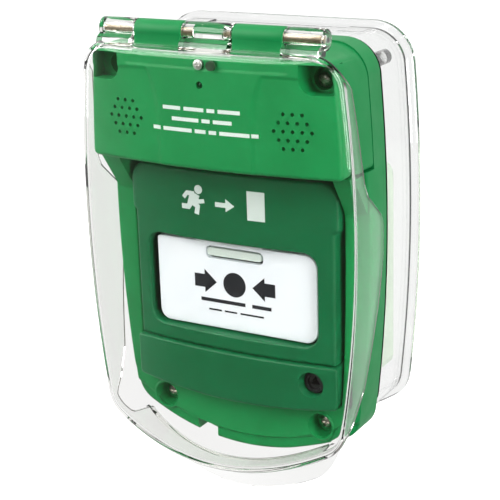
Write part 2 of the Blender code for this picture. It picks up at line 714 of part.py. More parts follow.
def make_press_plate():
    """The white plate that is pushed, with its slot for the flag and its rear boss."""
    back = PLATE_FRONT - PLATE_THICKNESS
    outline = rounded_rectangle(-PLATE_HALF_WIDTH, PLATE_HALF_WIDTH, PLATE_BOTTOM, PLATE_TOP, 0.0070, 4)
    body = front_outline_solid("press_plate", [outline], back, PLATE_FRONT)
    place(body, PARTS, "white")
    join(body, box("plate_tab", -0.0220, 0.0160, back, PLATE_FRONT - 0.0002, PLATE_TOP - 0.002, PLATE_TOP + 0.0011))
    boss = ((0, -back - 0.0005, PRESS_Z), (0, -0.0500, PRESS_Z))
    join(body, cylinder("press_boss", *boss, 0.0040, 14))
    slot = (-SLOT_HALF_WIDTH, SLOT_HALF_WIDTH, SLOT_Z - SLOT_HALF_HEIGHT, SLOT_Z + SLOT_HALF_HEIGHT)
    cut(body, front_outline_solid("flag_slot", [rounded_rectangle(*slot, 0.0015, 2)], 0.04, 0.08))
    return move_origin(body, (0.0, -PLATE_FRONT, PRESS_Z))


def make_flag_parts():
    half_width, half_height = SLOT_HALF_WIDTH - GAP, SLOT_HALF_HEIGHT - GAP
    lens = (-half_width, half_width, SLOT_Z - half_height, SLOT_Z + half_height)
    back = PLATE_FRONT - PLATE_THICKNESS
    window = front_outline_solid("flag_window", [rounded_rectangle(*lens, 0.0012, 2)], back, PLATE_FRONT - 0.0005)
    move_origin(place(window, PARTS, "pale_green"), (0.0, -PLATE_FRONT, PRESS_Z))
    flag = box("indicator_flag", -0.0145, 0.0145, 0.0503, 0.0515, -0.0085, -0.0030)
    move_origin(place(flag, PARTS, "flag_yellow"), (0.0, -0.0509, -0.0058))


def make_switch_parts():
    back = BOARD_FRONT
    board = box("call_point_board", -0.0480, 0.0480, back - BOARD_THICKNESS, back, -0.0620, 0.0120)
    place(board, PARTS, "board_green")
    body = box("microswitch", -0.0100, 0.0100, back + GAP, 0.0380, PRESS_Z - 0.005, PRESS_Z + 0.005)
    place(body, PARTS, "black")
    cut(body, cylinder("plunger_hole", (0, -0.0335, PRESS_Z), (0, -0.06, PRESS_Z), 0.0016, 12))
    plunger = cylinder("microswitch_plunger", (0, -0.0370, PRESS_Z), (0, -0.0497, PRESS_Z), 0.0012, 12)
    move_origin(place(plunger, PARTS, "flag_yellow"), (0.0, -0.0370, PRESS_Z))
    place(box("terminal_block", -0.0300, 0.0060, back + GAP, 0.0420, -0.0600, -0.0480), PARTS, "black")
    both_sides(make_plate_spring)


def make_plate_spring(side, sign):
    """A coil spring between the board and the plate."""
    turns, per_turn, radius, wire = 5, 8, 0.0030, 0.00035
    back, front = BOARD_FRONT + GAP + wire, PLATE_FRONT - PLATE_THICKNESS - GAP - wire
    curve = bpy.data.curves.new(f"plate_spring_{side}", "CURVE")
    curve.dimensions = "3D"
    curve.bevel_depth = wire
    curve.bevel_resolution = 1
    curve.use_fill_caps = True
    spline = curve.splines.new("POLY")
    count = turns * per_turn + 1
    spline.points.add(count - 1)
    for i, point in enumerate(spline.points):
        angle = 2 * math.pi * i / per_turn
        depth = back + (front - back) * i / (count - 1)
        x = sign * 0.0320 + radius * math.cos(angle)
        point.co = (x, -depth, PRESS_Z + radius * math.sin(angle), 1.0)
    spring = mesh_of_curve(bpy.data.objects.new(f"plate_spring_{side}", curve))
    return place(spring, PARTS, "steel")


def make_key_parts():
    """The key barrel behind the round hole, and the cam that it turns."""
    centre = (KEY_X, -0.0450, KEY_Z)
    barrel = cylinder("key_barrel", (KEY_X, -0.0420, KEY_Z), (KEY_X, -0.0600, KEY_Z), KEY_RADIUS, 20)
    place(barrel, PARTS, "black")
    socket = ((KEY_X, -0.0530, KEY_Z), (KEY_X, -0.0700, KEY_Z))
    cut(barrel, cylinder("key_socket", *socket, 0.0034, 3))
    move_origin(barrel, centre)
    arm = corner_arc((KEY_X, KEY_Z), 0.0050, -90, 90, 6)
    arm += corner_arc((KEY_X - 0.0048, KEY_Z), 0.0022, 90, 270, 4)
    cam = front_outline_solid("reset_cam", [arm], 0.0392, 0.0417)
    move_origin(place(cam, PARTS, "white"), centre)


def smooth_round_pieces():
    for obj in PARTS.objects:
        obj.data.shade_smooth()
        obj.data.set_sharp_from_angle(angle=math.radians(35))


make_rear_spacer()
make_spacer_seal()
make_cable_grommet()
make_base_frame()
make_sounder_housing()
both_sides(make_hinge_pin)
make_cover()
make_cover_magnet()
make_sounder_parts()
make_screws()
make_call_point_box()
make_call_point_housing()
make_lower_cover()
make_press_plate()
make_flag_parts()
make_switch_parts()
make_key_parts()
smooth_round_pieces()
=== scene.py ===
import json
import math
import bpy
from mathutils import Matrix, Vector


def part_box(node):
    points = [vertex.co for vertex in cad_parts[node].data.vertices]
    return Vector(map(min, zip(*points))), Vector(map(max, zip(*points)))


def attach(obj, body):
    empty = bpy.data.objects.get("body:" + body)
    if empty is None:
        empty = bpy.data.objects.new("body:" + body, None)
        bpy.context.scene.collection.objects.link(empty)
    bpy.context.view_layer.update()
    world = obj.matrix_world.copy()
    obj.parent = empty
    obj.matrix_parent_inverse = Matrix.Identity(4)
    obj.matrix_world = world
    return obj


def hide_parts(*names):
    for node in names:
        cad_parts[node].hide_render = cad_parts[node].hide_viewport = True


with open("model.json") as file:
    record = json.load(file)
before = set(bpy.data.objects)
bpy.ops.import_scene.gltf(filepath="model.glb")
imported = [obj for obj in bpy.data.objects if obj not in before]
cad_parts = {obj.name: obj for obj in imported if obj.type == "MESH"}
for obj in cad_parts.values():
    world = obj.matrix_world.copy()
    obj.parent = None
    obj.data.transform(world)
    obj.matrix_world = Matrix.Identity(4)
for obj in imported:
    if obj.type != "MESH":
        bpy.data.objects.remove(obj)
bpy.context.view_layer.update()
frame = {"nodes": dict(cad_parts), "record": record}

from types import SimpleNamespace

import bmesh
import bpy
from mathutils import Matrix, Vector

# Lengths below are millimetres. A point is (x, depth, z): depth is the distance in front of the wall.
MM = 0.001
NODES = frame["nodes"]


def extent(node):
    """The box of a CAD node, in millimetres and depths."""
    low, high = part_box(node)
    return SimpleNamespace(
        left=low.x / MM, right=high.x / MM,
        back=-high.y / MM, front=-low.y / MM,
        bottom=low.z / MM, top=high.z / MM,
    )


def middle_of(found):
    """Where the middle of a box is on the front: (x, z)."""
    return (found.left + found.right) / 2, (found.bottom + found.top) / 2


def to_metres(point):
    x, depth, z = point
    return Vector((x, -depth, z)) * MM


# ---------------------------------------------------------------- outlines: lists of (x, z), anticlockwise


def arc(centre, radius, start, end, steps):
    angles = [math.radians(start + (end - start) * i / steps) for i in range(steps + 1)]
    return [(centre[0] + radius * math.cos(a), centre[1] + radius * math.sin(a)) for a in angles]


def mirrored(half):
    """A whole outline from its right half, which runs from bottom centre up to top centre."""
    return half + [(-x, z) for x, z in reversed(half) if x > 1e-6]


def value_at(value, x, z):
    return value(x, z) if callable(value) else value


def distance(a, b):
    return math.hypot(a[0] - b[0], a[1] - b[1])


def between(a, b, t):
    return tuple(p + (q - p) * t for p, q in zip(a, b))


def resample(loop, spacing):
    """The same closed outline with evenly spaced points."""
    lengths = [distance(a, b) for a, b in zip(loop, loop[1:] + loop[:1])]
    total = sum(lengths)
    count = max(8, round(total / spacing))
    points, start, i = [], 0.0, 0
    for k in range(count):
        target = total * k / count
        while start + lengths[i] < target:
            start += lengths[i]
            i += 1
        points.append(between(loop[i], loop[(i + 1) % len(loop)], (target - start) / max(lengths[i], 1e-9)))
    return points


def soften(loop, corner, reach):
    """Bends the outline smoothly through the stretch within reach of a corner."""
    middle = min(range(len(loop)), key=lambda i: distance(loop[i], corner))
    turn = middle - len(loop) // 2
    loop = loop[turn:] + loop[:turn]
    near = [i for i, p in enumerate(loop) if distance(p, corner) < reach]
    first, last = near[0], near[-1]
    a, b = loop[first], loop[last]
    for i in range(first, last + 1):
        t = (i - first) / (last - first)
        loop[i] = between(between(a, corner, t), between(corner, b, t), t)
    return loop


def inset(loop, amount):
    """The outline moved inwards, or outwards where amount is negative. It may be a function of x and z."""
    count = len(loop)
    moved = []
    for i, (x, z) in enumerate(loop):
        before, after = loop[i - 1], loop[(i + 1) % count]
        dx, dz = after[0] - before[0], after[1] - before[1]
        share = value_at(amount, x, z) / (math.hypot(dx, dz) or 1.0)
        moved.append((x - dz * share, z + dx * share))
    return moved


def side_half_width(widest, z, taper):
    return widest - taper * (z - 5.0) ** 2


def shield(widest, top, corner_z, bottom, taper, top_radius=18.0, corner_reach=7.0, spacing=2.0):
    """Bulging sides, round top corners and a bottom that sags to the centre."""
    corner_x = side_half_width(widest, corner_z, taper)
    half = [(corner_x * i / 24, bottom + (corner_z - bottom) * (i / 24) ** 2) for i in range(24)]
    side_top = top - top_radius
    heights = [corner_z + (side_top - corner_z) * i / 60 for i in range(60)]
    half += [(side_half_width(widest, z, taper), z) for z in heights]
    half += arc((side_half_width(widest, side_top, taper) - top_radius, side_top), top_radius, 0, 90, 16)
    loop = resample(mirrored(half), spacing)
    for sign in (-1, 1):
        loop = soften(loop, (sign * corner_x, corner_z), corner_reach)
    return loop


def rectangle(x0, x1, z0, z1):
    return [(x0, z0), (x1, z0), (x1, z1), (x0, z1)]


def rounded_rectangle(x0, x1, z0, z1, radius, spacing=1.0, steps=8):
    corners = (
        arc((x1 - radius, z0 + radius), radius, -90, 0, steps)
        + arc((x1 - radius, z1 - radius), radius, 0, 90, steps)
        + arc((x0 + radius, z1 - radius), radius, 90, 180, steps)
        + arc((x0 + radius, z0 + radius), radius, 180, 270, steps)
    )
    return resample(corners, spacing)


def by_angles(loop, centre, angles):
    """The points where rays from the centre meet the outline."""
    found = []
    corners = [(math.atan2(z - centre[1], x - centre[0]), x, z) for x, z in loop]
    pairs = list(zip(corners, corners[1:] + corners[:1]))
    for angle in angles:
        ray = (math.cos(angle), math.sin(angle))
        best = None
        for (a0, x0, z0), (a1, x1, z1) in pairs:
            low = math.remainder(a0 - angle, math.tau)
            high = math.remainder(a1 - angle, math.tau)
            if low > 1e-9 or high < -1e-9 or high - low > math.pi:
                continue
            ex, ez = x1 - x0, z1 - z0
            cross = ray[0] * ez - ray[1] * ex
            if abs(cross) < 1e-12:
                continue
            reach = ((x0 - centre[0]) * ez - (z0 - centre[1]) * ex) / cross
            best = reach if best is None else max(best, reach)
        found.append((centre[0] + ray[0] * best, centre[1] + ray[1] * best))
    return found


# ---------------------------------------------------------------- meshes


def ring(loop, depth):
    return [(x, value_at(depth, x, z), z) for x, z in loop]


def lofted(name, rings, closed=False, start_centre=None, end_centre=None):
    """A surface through rings of points, each end closed by a fan where its centre is given."""
    shape = bmesh.new()
    rows = [[shape.verts.new(to_metres(p)) for p in points] for points in rings]
    steps = list(zip(rows, rows[1:]))
    if closed:
        steps.append((rows[-1], rows[0]))
    count = len(rows[0])
    for a, b in steps:
        for i in range(count):
            shape.faces.new((a[i], a[(i + 1) % count], b[(i + 1) % count], b[i]))
    for row, centre in ((rows[0], start_centre), (rows[-1], end_centre)):
        if centre is not None:
            tip = shape.verts.new(to_metres(centre))
            for i in range(count):
                shape.faces.new((row[i], row[(i + 1) % count], tip))
    return finished(name, shape)


def finished(name, shape):
    bmesh.ops.recalc_face_normals(shape, faces=shape.faces)
    mesh = bpy.data.meshes.new(name)
    shape.to_mesh(mesh)
    shape.free()
    obj = bpy.data.objects.new(name, mesh)
    bpy.context.scene.collection.objects.link(obj)
    return obj


def rim(loop, front, radius, steps=4):
    """Rings that round an outline's front edge over from its side to its face."""
    radii = [value_at(radius, x, z) for x, z in loop]
    edge = inset(loop, 1.0)
    rings = []
    for i in range(steps + 1):
        angle = math.pi / 2 * i / steps
        points = []
        for (x0, z0), (x1, z1), r in zip(loop, edge, radii):
            along = r * (1 - math.cos(angle))
            x, z = x0 + (x1 - x0) * along, z0 + (z1 - z0) * along
            points.append((x, value_at(front, x, z) - r * (1 - math.sin(angle)), z))
        rings.append(points)
    return rings


def face_rings(loop, front, centre, steps):
    """Rings that shrink towards the centre over a face."""
    rings = []
    for k in range(1, steps):
        scale = 1 - k / steps
        rings.append(ring([between(centre, point, scale) for point in loop], front))
    return rings


def block(name, loop, back, front, radius=0.8, centre=(0.0, 0.0), steps=12, rim_steps=4):
    """A closed solid with a rounded front edge. Its front may be a function of x and z."""
    rear = [ring(loop, back)]
    inner = inset(loop, radius)
    rings = list(reversed(face_rings(loop, back, centre, 4))) + rear
    rings += rim(loop, front, radius, rim_steps) + face_rings(inner, front, centre, steps)
    tip = (centre[0], value_at(front, *centre), centre[1])
    return lofted(name, rings, start_centre=(centre[0], back, centre[1]), end_centre=tip)


def framed_block(name, outer, inner, back, front, centre, outer_radius=0.8, inner_radius=0.8, steps=16):
    """A closed solid with a window in it: both front edges are rounded."""
    angles = sorted({round(math.atan2(z - centre[1], x - centre[0]), 5) for x, z in outer + inner})

    def rays(loop, depths):
        return ring(by_angles(loop, centre, angles), depths)

    rings = [rays(outer, back)]
    for i in range(5):
        angle = math.pi / 2 * i / 4
        drop = outer_radius * (1 - math.sin(angle))
        loop = inset(outer, outer_radius * (1 - math.cos(angle)))
        rings.append(rays(loop, lambda x, z, d=drop: value_at(front, x, z) - d))
    start = by_angles(inset(outer, outer_radius), centre, angles)
    end = by_angles(inset(inner, -inner_radius), centre, angles)
    for k in range(1, steps):
        rings.append(ring([between(a, b, k / steps) for a, b in zip(start, end)], front))
    for i in range(4, -1, -1):
        angle = math.pi / 2 * i / 4
        drop = inner_radius * (1 - math.sin(angle))
        loop = inset(inner, -inner_radius * (1 - math.cos(angle)))
        rings.append(rays(loop, lambda x, z, d=drop: value_at(front, x, z) - d))
    rings.append(rays(inner, back))
    return lofted(name, rings, closed=True)


def turned(name, profile, start, axis, sides=40, closed=False):
    """A solid turned round an axis: its (along, radius) pairs end on the axis or, closed, form a loop."""
    start, axis = to_metres(start), Vector((axis[0], -axis[1], axis[2])).normalized()
    across = axis.orthogonal().normalized()
    up = axis.cross(across)
    angles = [math.tau * i / sides for i in range(sides)]
    ways = [across * math.cos(a) + up * math.sin(a) for a in angles]
    shape = bmesh.new()
    rows = []
    for along, radius in profile:
        centre = start + axis * along * MM
        if radius <= 0:
            rows.append([shape.verts.new(centre)])
            continue
        rows.append([shape.verts.new(centre + way * radius * MM) for way in ways])
    for a, b in zip(rows, rows[1:] + rows[:1] if closed else rows[1:]):
        for i in range(sides):
            j = (i + 1) % sides
            corners = [a[i % len(a)], a[j % len(a)], b[j % len(b)], b[i % len(b)]]
            unique = list(dict.fromkeys(corners))
            if len(unique) > 2:
                shape.faces.new(unique)
    return finished(name, shape)


def round_bar(name, start, axis, length, radius, edge=0.3, sides=40):
    angles = (0, math.pi / 4, math.pi / 2)
    steps = [(edge * (1 - math.cos(a)), radius - edge * (1 - math.sin(a))) for a in angles]
    profile = [(0, 0)] + steps + [(length - a, r) for a, r in reversed(steps)] + [(length, 0)]
    return turned(name, profile, start, axis, sides)


def hinge_bar(name, x0, x1, radius, edge=0.3, sides=40):
    """A round bar on the hinge's axis, from x0 to x1."""
    return round_bar(name, (x0, HINGE.depth, HINGE.z), (1, 0, 0), x1 - x0, radius, edge, sides)


def prism(name, loop, axis, low, high):
    """An outline pushed straight along an axis: (depth, z) points for "x" and (x, z) points for "depth"."""
    if axis == "x":
        rings = [[(x, d, z) for d, z in loop] for x in (low, high)]
    else:
        rings = [[(x, d, z) for x, z in loop] for d in (low, high)]
    shape = bmesh.new()
    rows = [[shape.verts.new(to_metres(p)) for p in points] for points in rings]
    count = len(loop)
    for i in range(count):
        shape.faces.new((rows[0][i], rows[0][(i + 1) % count], rows[1][(i + 1) % count], rows[1][i]))
    shape.faces.new(rows[0])
    shape.faces.new(list(reversed(rows[1])))
    return finished(name, shape)


def brick(name, x, depth, z):
    return prism(name, rectangle(*x, *z), "depth", *depth)


def combined(objects):
    """Joins the meshes of separate, non-touching tools into one object."""
    shape = bmesh.new()
    for obj in objects:
        shape.from_mesh(obj.data)
    name = objects[0].name
    for obj in objects:
        bpy.data.objects.remove(obj, do_unlink=True)
    mesh = bpy.data.meshes.new(name)
    shape.to_mesh(mesh)
    shape.free()
    result = bpy.data.objects.new(name, mesh)
    bpy.context.scene.collection.objects.link(result)
    return result


def boolean(obj, tool, operation):
    """Applies a Boolean at once and removes the tool."""
    step = obj.modifiers.new("boolean", "BOOLEAN")
    step.operation, step.solver, step.object = operation, "EXACT", tool
    bpy.context.view_layer.update()
    mesh = bpy.data.meshes.new_from_object(obj.evaluated_get(bpy.context.evaluated_depsgraph_get()))
    obj.modifiers.clear()
    obj.data = mesh
    bpy.data.objects.remove(tool, do_unlink=True)
    return obj


def cut(obj, *tools):
    return boolean(obj, combined(list(tools)), "DIFFERENCE")


def weld(obj, *tools):
    for tool in tools:
        boolean(obj, tool, "UNION")
    return obj


def smooth(obj, angle=38):
    obj.data.shade_smooth()
    obj.data.set_sharp_from_angle(angle=math.radians(angle))
    return obj


# ---------------------------------------------------------------- materials


def new_material(name):
    made = bpy.data.materials.new(name)
    made.use_nodes = True
    tree = made.node_tree
    return made, tree, tree.nodes["Principled BSDF"]


def noise(tree, scale, detail=3.0, roughness=0.5, stretch=None):
    """A noise texture over the object's own coordinates, in cycles per metre."""
    where = tree.nodes.new("ShaderNodeTexCoord")
    texture = tree.nodes.new("ShaderNodeTexNoise")
    texture.inputs["Scale"].default_value = scale
    texture.inputs["Detail"].default_value = detail
    texture.inputs["Roughness"].default_value = roughness
    if stretch:
        mapping = tree.nodes.new("ShaderNodeMapping")
        mapping.inputs["Scale"].default_value = stretch
        tree.links.new(where.outputs["Object"], mapping.inputs["Vector"])
        tree.links.new(mapping.outputs["Vector"], texture.inputs["Vector"])
    else:
        tree.links.new(where.outputs["Object"], texture.inputs["Vector"])
    return texture.outputs["Fac"]


def ramp(tree, factor, low, high):
    """A colour that runs from low to high as the factor runs over its middle."""
    node = tree.nodes.new("ShaderNodeValToRGB")
    node.color_ramp.elements[0].position = 0.3
    node.color_ramp.elements[1].position = 0.7
    node.color_ramp.elements[0].color = (*low, 1.0)
    node.color_ramp.elements[1].color = (*high, 1.0)
    tree.links.new(factor, node.inputs["Fac"])
    return node.outputs["Color"]


def mapped(tree, factor, low, high):
    node = tree.nodes.new("ShaderNodeMapRange")
    node.inputs["From Min"].default_value = 0.3
    node.inputs["From Max"].default_value = 0.7
    node.inputs["To Min"].default_value = low
    node.inputs["To Max"].default_value = high
    tree.links.new(factor, node.inputs["Value"])
    return node.outputs["Result"]


def bump(tree, shader, height, strength, depth):
    node = tree.nodes.new("ShaderNodeBump")
    node.inputs["Strength"].default_value = strength
    node.inputs["Distance"].default_value = depth
    tree.links.new(height, node.inputs["Height"])
    tree.links.new(node.outputs["Normal"], shader.inputs["Normal"])


def moulded(name, low, high, roughness, grain=2500.0, grain_depth=0.00004, specular=0.4, patch=35.0):
    """Coloured plastic: slow changes of tint, uneven gloss and a fine eroded grain."""
    made, tree, shader = new_material(name)
    tree.links.new(ramp(tree, noise(tree, patch), low, high), shader.inputs["Base Color"])
    tree.links.new(
        mapped(tree, noise(tree, patch * 3), roughness - 0.05, roughness + 0.06), shader.inputs["Roughness"]
    )
    shader.inputs["Specular IOR Level"].default_value = specular
    bump(tree, shader, noise(tree, grain, 2.0), 0.35, grain_depth)
    return made


def metal(name, low, high, roughness, stretch=(1.0, 1.0, 1.0)):
    made, tree, shader = new_material(name)
    shader.inputs["Metallic"].default_value = 1.0
    lines = noise(tree, 900.0, 4.0, 0.6, stretch)
    tree.links.new(ramp(tree, lines, low, high), shader.inputs["Base Color"])
    tree.links.new(mapped(tree, lines, roughness - 0.08, roughness + 0.08), shader.inputs["Roughness"])
    bump(tree, shader, lines, 0.25, 0.00003)
    return made


def clear(name, tint, shade):
    """Polished clear plastic, which lets light from the lamps through."""
    made, tree, shader = new_material(name)
    shader.inputs["Base Color"].default_value = (*tint, 1.0)
    shader.inputs["Transmission Weight"].default_value = 1.0
    shader.inputs["IOR"].default_value = 1.5
    shader.inputs["Specular IOR Level"].default_value = 0.5
    tree.links.new(mapped(tree, noise(tree, 60.0), 0.0, 0.03), shader.inputs["Roughness"])
    bump(tree, shader, noise(tree, 24.0, 1.0), 0.06, 0.0015)
    through = tree.nodes.new("ShaderNodeBsdfTransparent")
    through.inputs["Color"].default_value = (0.96, 0.96, 0.96, 1.0)
    depths = tree.nodes.new("ShaderNodeVolumeAbsorption")
    depths.inputs["Color"].default_value = (*shade, 1.0)
    depths.inputs["Density"].default_value = 50.0
    path = tree.nodes.new("ShaderNodeLightPath")
    mix = tree.nodes.new("ShaderNodeMixShader")
    out = tree.nodes["Material Output"]
    tree.links.new(depths.outputs["Volume"], out.inputs["Volume"])
    tree.links.new(path.outputs["Is Shadow Ray"], mix.inputs["Fac"])
    tree.links.new(shader.outputs["BSDF"], mix.inputs[1])
    tree.links.new(through.outputs["BSDF"], mix.inputs[2])
    tree.links.new(mix.outputs["Shader"], out.inputs["Surface"])
    return made


MOULDED = {
    "signal_green": ((0.001, 0.205, 0.048), (0.003, 0.240, 0.060), 0.48, {"specular": 0.3}),
    "deep_green": (
        (0.001, 0.106, 0.033), (0.002, 0.124, 0.040), 0.42, {"grain_depth": 0.00006, "specular": 0.3}
    ),
    "box_green": ((0.42, 0.52, 0.40), (0.48, 0.58, 0.46), 0.5, {}),
    "white_plate": ((0.82, 0.87, 0.92), (0.86, 0.90, 0.94), 0.33, {"grain_depth": 0.00002}),
    "flag_yellow": ((0.72, 0.52, 0.03), (0.82, 0.62, 0.06), 0.45, {}),
    "flag_lens": ((0.66, 0.76, 0.70), (0.72, 0.80, 0.75), 0.2, {"grain_depth": 0.00001}),
    "black_plastic": ((0.010, 0.010, 0.011), (0.018, 0.018, 0.020), 0.45, {}),
    "circuit_board": ((0.008, 0.07, 0.025), (0.02, 0.12, 0.045), 0.4, {"patch": 400.0}),
    "magnet_coat": ((0.014, 0.040, 0.018), (0.022, 0.055, 0.026), 0.4, {}),
    "lamp_lens": ((0.004, 0.060, 0.022), (0.008, 0.085, 0.032), 0.15, {"grain_depth": 0.00001}),
    "gasket": ((0.50, 0.52, 0.50), (0.58, 0.60, 0.58), 0.6, {}),
    "grommet_rubber": ((0.010, 0.010, 0.010), (0.02, 0.02, 0.02), 0.65, {}),
    "print_black": ((0.006, 0.008, 0.012), (0.010, 0.012, 0.016), 0.5, {"grain_depth": 0.00001}),
    "print_pale": ((0.62, 0.72, 0.68), (0.70, 0.78, 0.74), 0.5, {"grain_depth": 0.00001}),
}
DRAWN = (1.0, 8.0, 8.0)
METALS = {
    "steel": ((0.50, 0.47, 0.42), (0.68, 0.65, 0.60), 0.26, DRAWN),
    # The pins' tan-brown colour is a painted reflection: the warm surroundings that polished steel mirrors,
    # set as its base colour.
    "pin_steel": ((0.42, 0.34, 0.24), (0.60, 0.51, 0.38), 0.30, DRAWN),
    "bright_steel": ((0.86, 0.85, 0.83), (0.95, 0.94, 0.92), 0.34),
    "brass": ((0.66, 0.46, 0.18), (0.80, 0.60, 0.28), 0.3),
}
FINISHES = {
    "clear_cover": clear("clear_cover", (0.99, 0.99, 0.985), (0.90, 0.90, 0.86)),
    "clear_box": clear("clear_box", (0.99, 0.99, 0.99), (0.86, 0.87, 0.85)),
}
FINISHES.update({name: metal(name, *settings) for name, settings in METALS.items()})
for name, (low, high, roughness, more) in MOULDED.items():
    FINISHES[name] = moulded(name, low, high, roughness, **more)


def piece(obj, body, finish, replaces=(), angle=38):
    """Gives a piece its finish and its body, and hides the CAD nodes that it stands for."""
    smooth(obj, angle)
    obj.data.materials.clear()
    obj.data.materials.append(FINISHES[finish])
    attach(obj, body)
    if replaces:
        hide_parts(*replaces)
    return obj


def side_name(sign):
    return "left" if sign < 0 else "right"


# ---------------------------------------------------------------- shared sizes, from the frame

COVER = extent("cover")
SPACER = extent("rear_spacer")
BASE = extent("base_frame")
HEAD = extent("sounder_housing")
CALL = extent("call_point_housing")
LOWER = extent("call_point_lower_cover")
PLATE = extent("press_plate")
PIN = extent("hinge_pin_right")
KEY = extent("key_barrel")
HINGE = SimpleNamespace(depth=(PIN.back + PIN.front) / 2, z=middle_of(PIN)[1])
KNUCKLE_RADIUS = 5.2
PIN_BORE_RADIUS = 2.2
COVER_HALF_WIDTH = 76.8
FRAME_HALF_WIDTH = 72.2
COVER_TAPER = 0.0008
BODY_TAPER = 0.0006
UPPER_SCREW = (56.5, 81.5)
LOWER_SCREW = (46.0, -98.5)
FIXING_SCREWS = tuple(f"{level}_screw_{side}" for level in ("upper", "lower") for side in ("left", "right"))


def bowed(crown, bow, half_width):
    """The depth of a front that bows forward to its crown at the middle."""
    return lambda x, z=0.0: crown - bow * (x / half_width) ** 2


def step_up(value, edge, width):
    """0 below the edge and 1 above it, smoothly over a width."""
    t = min(1.0, max(0.0, (value - edge) / width + 0.5))
    return t * t * (3 - 2 * t)


# ---------------------------------------------------------------- the clear cover

COVER_WALL = 2.6
COVER_TOP_Z = 94.5
COVER_CORNER_Z = -100.0
COVER_BOTTOM_Z = -120.5
COVER_CORNER_X = side_half_width(COVER_HALF_WIDTH, COVER_CORNER_Z, COVER_TAPER)
COVER_BOW = 8.5
# The rear edge of the side walls from top to bottom: pairs of height and depth.
COVER_REAR = [
    (130, 78.5), (91, 78.5), (84, 75.5), (78, 71.4), (46, 68.0), (33, 66.0), (27, 63.0), (14, 48.6),
    (9, 46.8), (-6, 47.0), (-29, 50.4), (-48, 54.0), (-73, 58.8), (-88, 66.5), (-96, 73.5), (-150, 74.0),
]
FOOT_REACH = 57.5
LIP_REACH = 56.0
cover_front = bowed(COVER.front, COVER_BOW, COVER_HALF_WIDTH)
cover_inner_front = bowed(COVER.front - COVER_WALL, COVER_BOW, COVER_HALF_WIDTH)


def foot_rear(x):
    """Depth of the rear edge of the cover's bottom wall, which follows the bow of the frame behind it."""
    return 71.0 - 12.5 * (x / 57.0) ** 2


def foot_z(x):
    return COVER_BOTTOM_Z + (COVER_CORNER_Z - COVER_BOTTOM_Z) * (x / COVER_CORNER_X) ** 2


def cover_rear(x, z):
    """Depth of the rear edge of the cover's walls."""
    for (z1, d1), (z0, d0) in zip(COVER_REAR, COVER_REAR[1:]):
        if z0 <= z <= z1:
            depth = d0 + (d1 - d0) * (z - z0) / (z1 - z0)
            break
    if z < -99.0:
        bottom = step_up(FOOT_REACH - abs(x), 1.5, 4.0)
        depth += (foot_rear(x) - depth) * bottom
    return min(depth, cover_inner_front(x) - 0.9)


def make_cover():
    outer = shield(
        COVER_HALF_WIDTH, COVER_TOP_Z, COVER_CORNER_Z, COVER_BOTTOM_Z, COVER_TAPER,
        corner_reach=9.0, spacing=1.3,
    )
    inner = inset(outer, COVER_WALL)
    rears = [cover_rear(x, z) for x, z in outer]
    centre = (0.0, -10.0)

    def edge(loop, back):
        return [(x, depth + back, z) for (x, z), depth in zip(loop, rears)]

    def inner_radius(x, z):
        return max(0.3, min(2.6, cover_inner_front(x) - cover_rear(x, z) - 0.4))

    def outer_radius(x, z):
        return max(0.8, min(4.2, cover_front(x) - cover_rear(x, z) - 1.2))

    inner_rim = rim(inner, cover_inner_front, inner_radius, 5)
    outer_rim = rim(outer, cover_front, outer_radius, 7)
    inner_face = [(x, z) for x, _, z in inner_rim[-1]]
    outer_face = [(x, z) for x, _, z in outer_rim[-1]]
    rings = list(reversed(face_rings(inner_face, cover_inner_front, centre, 16))) + list(reversed(inner_rim))
    rings += [edge(inner, 0.45), edge(inset(outer, COVER_WALL - 0.5), 0.0)]
    rings += [edge(inset(outer, 0.5), 0.0), edge(outer, 0.45)]
    rings += outer_rim + face_rings(outer_face, cover_front, centre, 16)
    body = lofted(
        "clear_cover", rings,
        start_centre=(0.0, cover_inner_front(0.0), centre[1]), end_centre=(0.0, cover_front(0.0), centre[1]),
    )
    weld(body, finger_lip())
    web = [(74.0, 92.3), (82.3, 92.3), (81.0, 96.2), (HINGE.depth + 2.0, 100.0), (HINGE.depth - 1.0, 98.0)]
    for name, x0, x1 in (("left", -60.9, -40.9), ("centre", -13.7, 13.7), ("right", 40.9, 60.9)):
        weld(body, prism(f"knuckle_web_{name}", web, "x", x0 + 0.5, x1 - 0.5))
        weld(body, hinge_bar(f"knuckle_{name}", x0, x1, KNUCKLE_RADIUS, 0.5, 48))
    bores = []
    for sign in (-1, 1):
        x0, x1 = sorted((sign * (PIN.left - 0.3), sign * (PIN.right + 0.3)))
        bores.append(hinge_bar(f"bore_{sign}", x0, x1, PIN_BORE_RADIUS))
    cut(body, *bores)
    return piece(body, "cover", "clear_cover", replaces=["cover"], angle=30)


def finger_lip():
    """The curved tongue under the cover that a finger lifts. Its edge rises towards both ends."""
    rows, half_steps, end_stretch, thickness = [], 28, 14.0, 2.0
    for i in range(2 * half_steps + 1):
        x = LIP_REACH * (i / half_steps - 1)
        wall, root, tip = foot_z(x) + COVER_WALL / 2, foot_rear(x), 62.0 - 9.0 * (x / 57.0) ** 2
        into_end = max(0.0, (abs(x) - LIP_REACH + end_stretch) / end_stretch)
        low = COVER.bottom + 0.2 + x * x / 180.0 + 11.0 * into_end ** 3
        section = [(root + 0.7, wall), (root + 3.3, wall), (tip + thickness, low + 0.9)]
        section += [(tip + 1.6, low + 0.3), (tip + 1.0, low), (tip + 0.4, low + 0.3), (tip, low + 0.9)]
        rows.append([(x, depth, z) for depth, z in section])

    def middle(row):
        return tuple(sum(p[k] for p in row) / len(row) for k in range(3))

    return lofted("finger_lip", rows, start_centre=middle(rows[0]), end_centre=middle(rows[-1]))


# ---------------------------------------------------------------- the clear rear box


